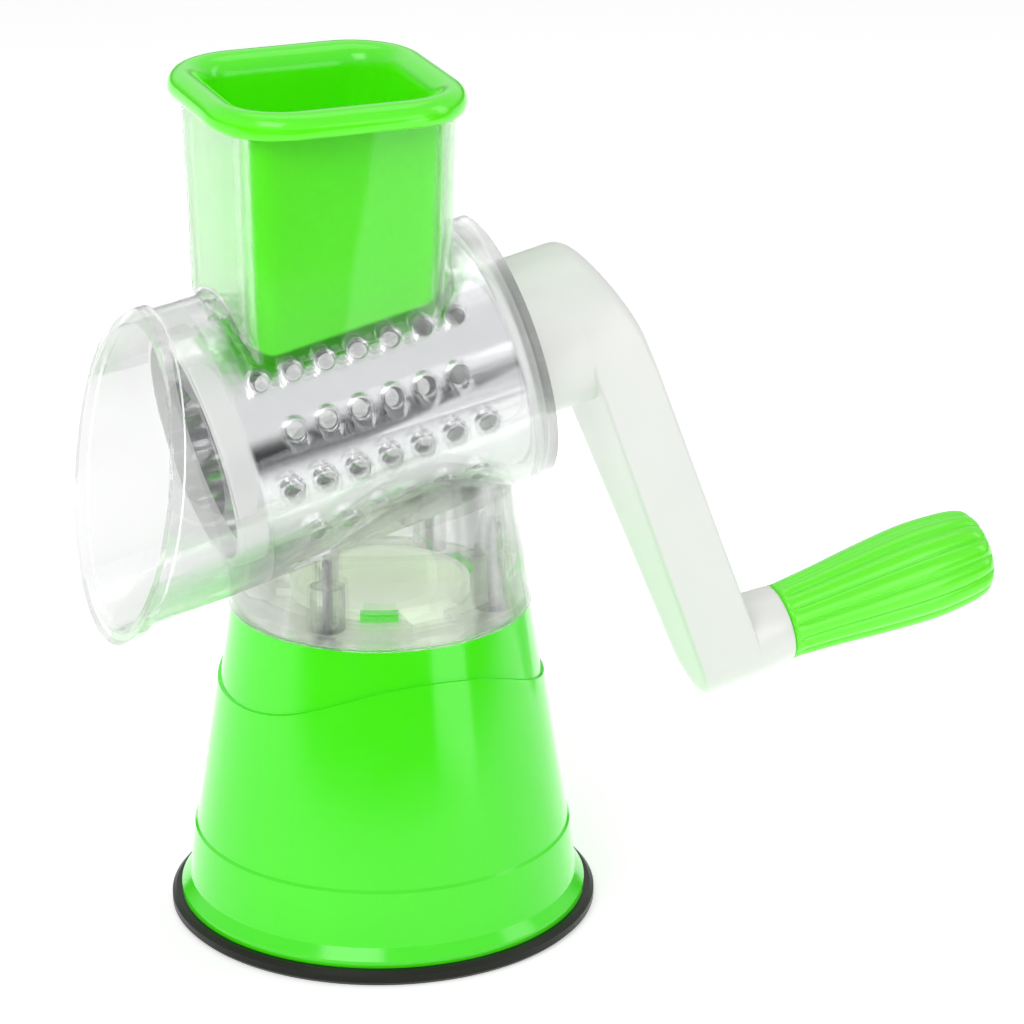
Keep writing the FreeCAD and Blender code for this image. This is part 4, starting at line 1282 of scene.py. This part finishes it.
@dataclass
class Studio:
    """The floor, the soft light and the camera at the photograph's angle.

    Args:
        camera_place: The camera's place in metres.
        pitch: The camera's tilt from straight down in degrees.
        heading: Its turn about Z in degrees.
        lens: The focal length in mm.
        sensor: The sensor's width in mm.
        fill: The world's strength for the light that it throws.
        seen_through: Its strength where it shows through clear plastic.
        mirrored_dark: Its strength where it shows as a reflection, near the horizon.
        mirrored_light: The same higher up.
        horizon: How high the reflection stops being darkest, as the Z of its direction.
        sky: How high it is lightest.
        floor_tone: The floor's colour.
        dark_tone: Its colour in reflections in front of the grater.
        floor_lift: The floor's own light, without which it would show grey.
        near: How far from the middle the floor's reflection begins to darken, in metres.
        far: Where it is darkest.
        ahead: How far in front of the middle it is fully darkened, as a Y.
        reach: Half the floor's width in metres.
        lamps: The lamps and cards.
    """

    camera_place: Triple = (-0.40644, -1.15955, 0.58270)
    pitch: float = 69.40
    heading: float = -21.10
    lens: float = 160.02
    sensor: float = 36.0
    fill: float = 0.42
    seen_through: float = 0.84
    mirrored_dark: float = 0.08
    mirrored_light: float = 1.15
    horizon: float = 0.04
    sky: float = 0.3
    floor_tone: Color = (0.82, 0.82, 0.82, 1.0)
    dark_tone: Color = (0.05, 0.05, 0.052, 1.0)
    floor_lift: float = 0.5
    near: float = 0.33
    far: float = 0.62
    ahead: float = -0.3
    reach: float = 12.0
    lamps: tuple[Lamp, ...] = (
        Lamp("key_light", (-0.9, -1.0, 1.3), 0.9, 0.9, 9.3),
        Lamp("side_light", (1.3, -0.5, 0.7), 0.4, 1.1, 3.0),
        Lamp("low_fill", (-0.9, -0.7, 0.12), 0.9, 0.4, 1.5, mirrored=False),
        Lamp("top_light", (0.1, 0.3, 1.5), 1.2, 0.8, 3.6),
        Lamp("base_card", (0.215, -0.37, 0.106), 0.20, 0.20, 0.28, aim=0.106, lean=-8.0, card=True),
        Lamp("drum_card", (0.262, -0.50, 0.31), 0.20, 0.34, 0.36, aim=0.31, lean=24.0, card=True))

    def build(self) -> None:
        """Makes the floor, lights, world and camera."""
        self._floor()
        self._world()
        for lamp in self.lamps:
            lamp.hang()
        self._camera()

    def _floor_finish(self) -> bpy.types.Material:
        """The floor's white, which darkens in reflections far in front of the grater.

        Returns:
            The material.
        """
        material = bpy.data.materials.new("floor_white")
        material.use_nodes = True
        tree = material.node_tree
        shader = tree.nodes["Principled BSDF"]
        spot = tree.nodes.new("ShaderNodeTexCoord").outputs["Object"]
        distance = tree.nodes.new("ShaderNodeVectorMath")
        distance.operation = "LENGTH"
        tree.links.new(spot, distance.inputs[0])
        away = spread_out(tree, distance.outputs["Value"], soft=True, from_min=self.near, from_max=self.far)
        parts = tree.nodes.new("ShaderNodeSeparateXYZ")
        tree.links.new(spot, parts.inputs["Vector"])
        in_front = spread_out(tree, parts.outputs["Y"], soft=True, from_min=0.0, from_max=self.ahead)
        dimmed = reckon(tree, "MULTIPLY", seen_mirrored(tree), reckon(tree, "MULTIPLY", away, in_front))
        tone = blend_shades(tree, dimmed, self.floor_tone, self.dark_tone)
        tree.links.new(tone, shader.inputs["Base Color"])
        lift = spread_out(tree, dimmed, to_min=self.floor_lift, to_max=0.0)
        tree.links.new(lift, shader.inputs["Emission Strength"])
        shade(shader.inputs["Emission Color"], WHITE)
        shade(shader.inputs["Roughness"], 0.9)
        shade(shader.inputs["Specular IOR Level"], 0.0)
        return material

    def _floor(self) -> None:
        """Lays the floor."""
        mesh = bpy.data.meshes.new("floor")
        reach = self.reach
        corners = [(-reach, -reach, 0), (reach, -reach, 0), (reach, reach, 0), (-reach, reach, 0)]
        mesh.from_pydata(corners, [], [(0, 1, 2, 3)])
        mesh.materials.append(self._floor_finish())
        add_mesh("floor", mesh)

    def _world(self) -> None:
        """Sets the world's strength for each kind of ray."""
        world = bpy.data.worlds.new("studio")
        bpy.context.scene.world = world
        world.use_nodes = True
        tree = world.node_tree
        background = tree.nodes["Background"]
        shade(background.inputs["Color"], WHITE)
        rays = tree.nodes.new("ShaderNodeLightPath").outputs
        way = tree.nodes.new("ShaderNodeTexCoord").outputs["Generated"]
        split = tree.nodes.new("ShaderNodeSeparateXYZ")
        tree.links.new(way, split.inputs["Vector"])
        shine = spread_out(tree, split.outputs["Z"], soft=True, from_min=self.horizon, from_max=self.sky,
                           to_min=self.mirrored_dark, to_max=self.mirrored_light)
        through = self._choose(tree, rays["Is Transmission Ray"], self.fill, self.seen_through)
        shining = self._choose(tree, seen_mirrored(tree), through, shine)
        seen = self._choose(tree, rays["Is Camera Ray"], shining, 1.0)
        tree.links.new(seen, background.inputs["Strength"])

    def _choose(self, tree: bpy.types.NodeTree, switch: bpy.types.NodeSocket,
                plain: float | bpy.types.NodeSocket,
                other: float | bpy.types.NodeSocket) -> bpy.types.NodeSocket:
        """One of two strengths, by the kind of ray.

        Args:
            tree: The tree that the node goes into.
            switch: The socket that is one for that kind of ray.
            plain: The strength for the rest.
            other: The strength for that kind.

        Returns:
            The chosen strength.
        """
        mix = tree.nodes.new("ShaderNodeMix")
        tree.links.new(switch, mix.inputs["Factor"])
        for name, value in (("A", plain), ("B", other)):
            if isinstance(value, bpy.types.NodeSocket):
                tree.links.new(value, mix.inputs[name])
            else:
                shade(mix.inputs[name], value)
        return mix.outputs["Result"]

    def _camera(self) -> None:
        """Sets up the camera."""
        data = bpy.data.cameras.new("camera")
        data.lens = self.lens
        data.sensor_width = self.sensor
        data.clip_end = 50.0
        camera = bpy.data.objects.new("camera", data)
        camera.location = self.camera_place
        camera.rotation_euler = (math.radians(self.pitch), 0.0, math.radians(self.heading))
        bpy.context.scene.collection.objects.link(camera)
        bpy.context.scene.camera = camera


def main() -> None:
    """Builds and dresses the grater, then sets up the studio."""
    logging.basicConfig(level=logging.INFO)
    palette = Palette()
    dressed = CadNodes({
        "suction_pad": palette.rubber,
        "base_shell": palette.base_green,
        "lock_plate": palette.lock_pale,
        "lock_tabs": palette.base_green,
        "mechanism_plate": palette.inner_grey,
        "plate_screws": palette.screw_steel,
        "suction_stem": palette.inner_grey,
        "suction_lever": palette.lever_white,
        "lever_clip": palette.screw_steel,
        "housing": palette.clear,
        "base_adapter": palette.clear,
        "adapter_screws": palette.screw_steel,
        "rear_bearing": palette.drum_white,
        "shaft_clip": palette.screw_steel,
        "drum": palette.steel,
        "drum_front_ring": palette.drum_white,
        "drum_rear_disc": palette.drum_white,
        "crank": palette.crank_white,
        "handle_pin": palette.screw_steel,
        "grip": palette.grip_green,
        "grip_cap": palette.grip_green,
        "pusher": palette.pusher_green,
    })
    made = dressed.dress()
    DrumTeeth(made["drum_steel"]).build()
    Grip(made["grip_green"]).build()
    Pusher(made["pusher_green"]).build()
    Crank(made["crank_white"]).build()
    Studio().build()
    bpy.context.scene.view_settings.view_transform = "Standard"


if __name__ == "__main__":
    main()
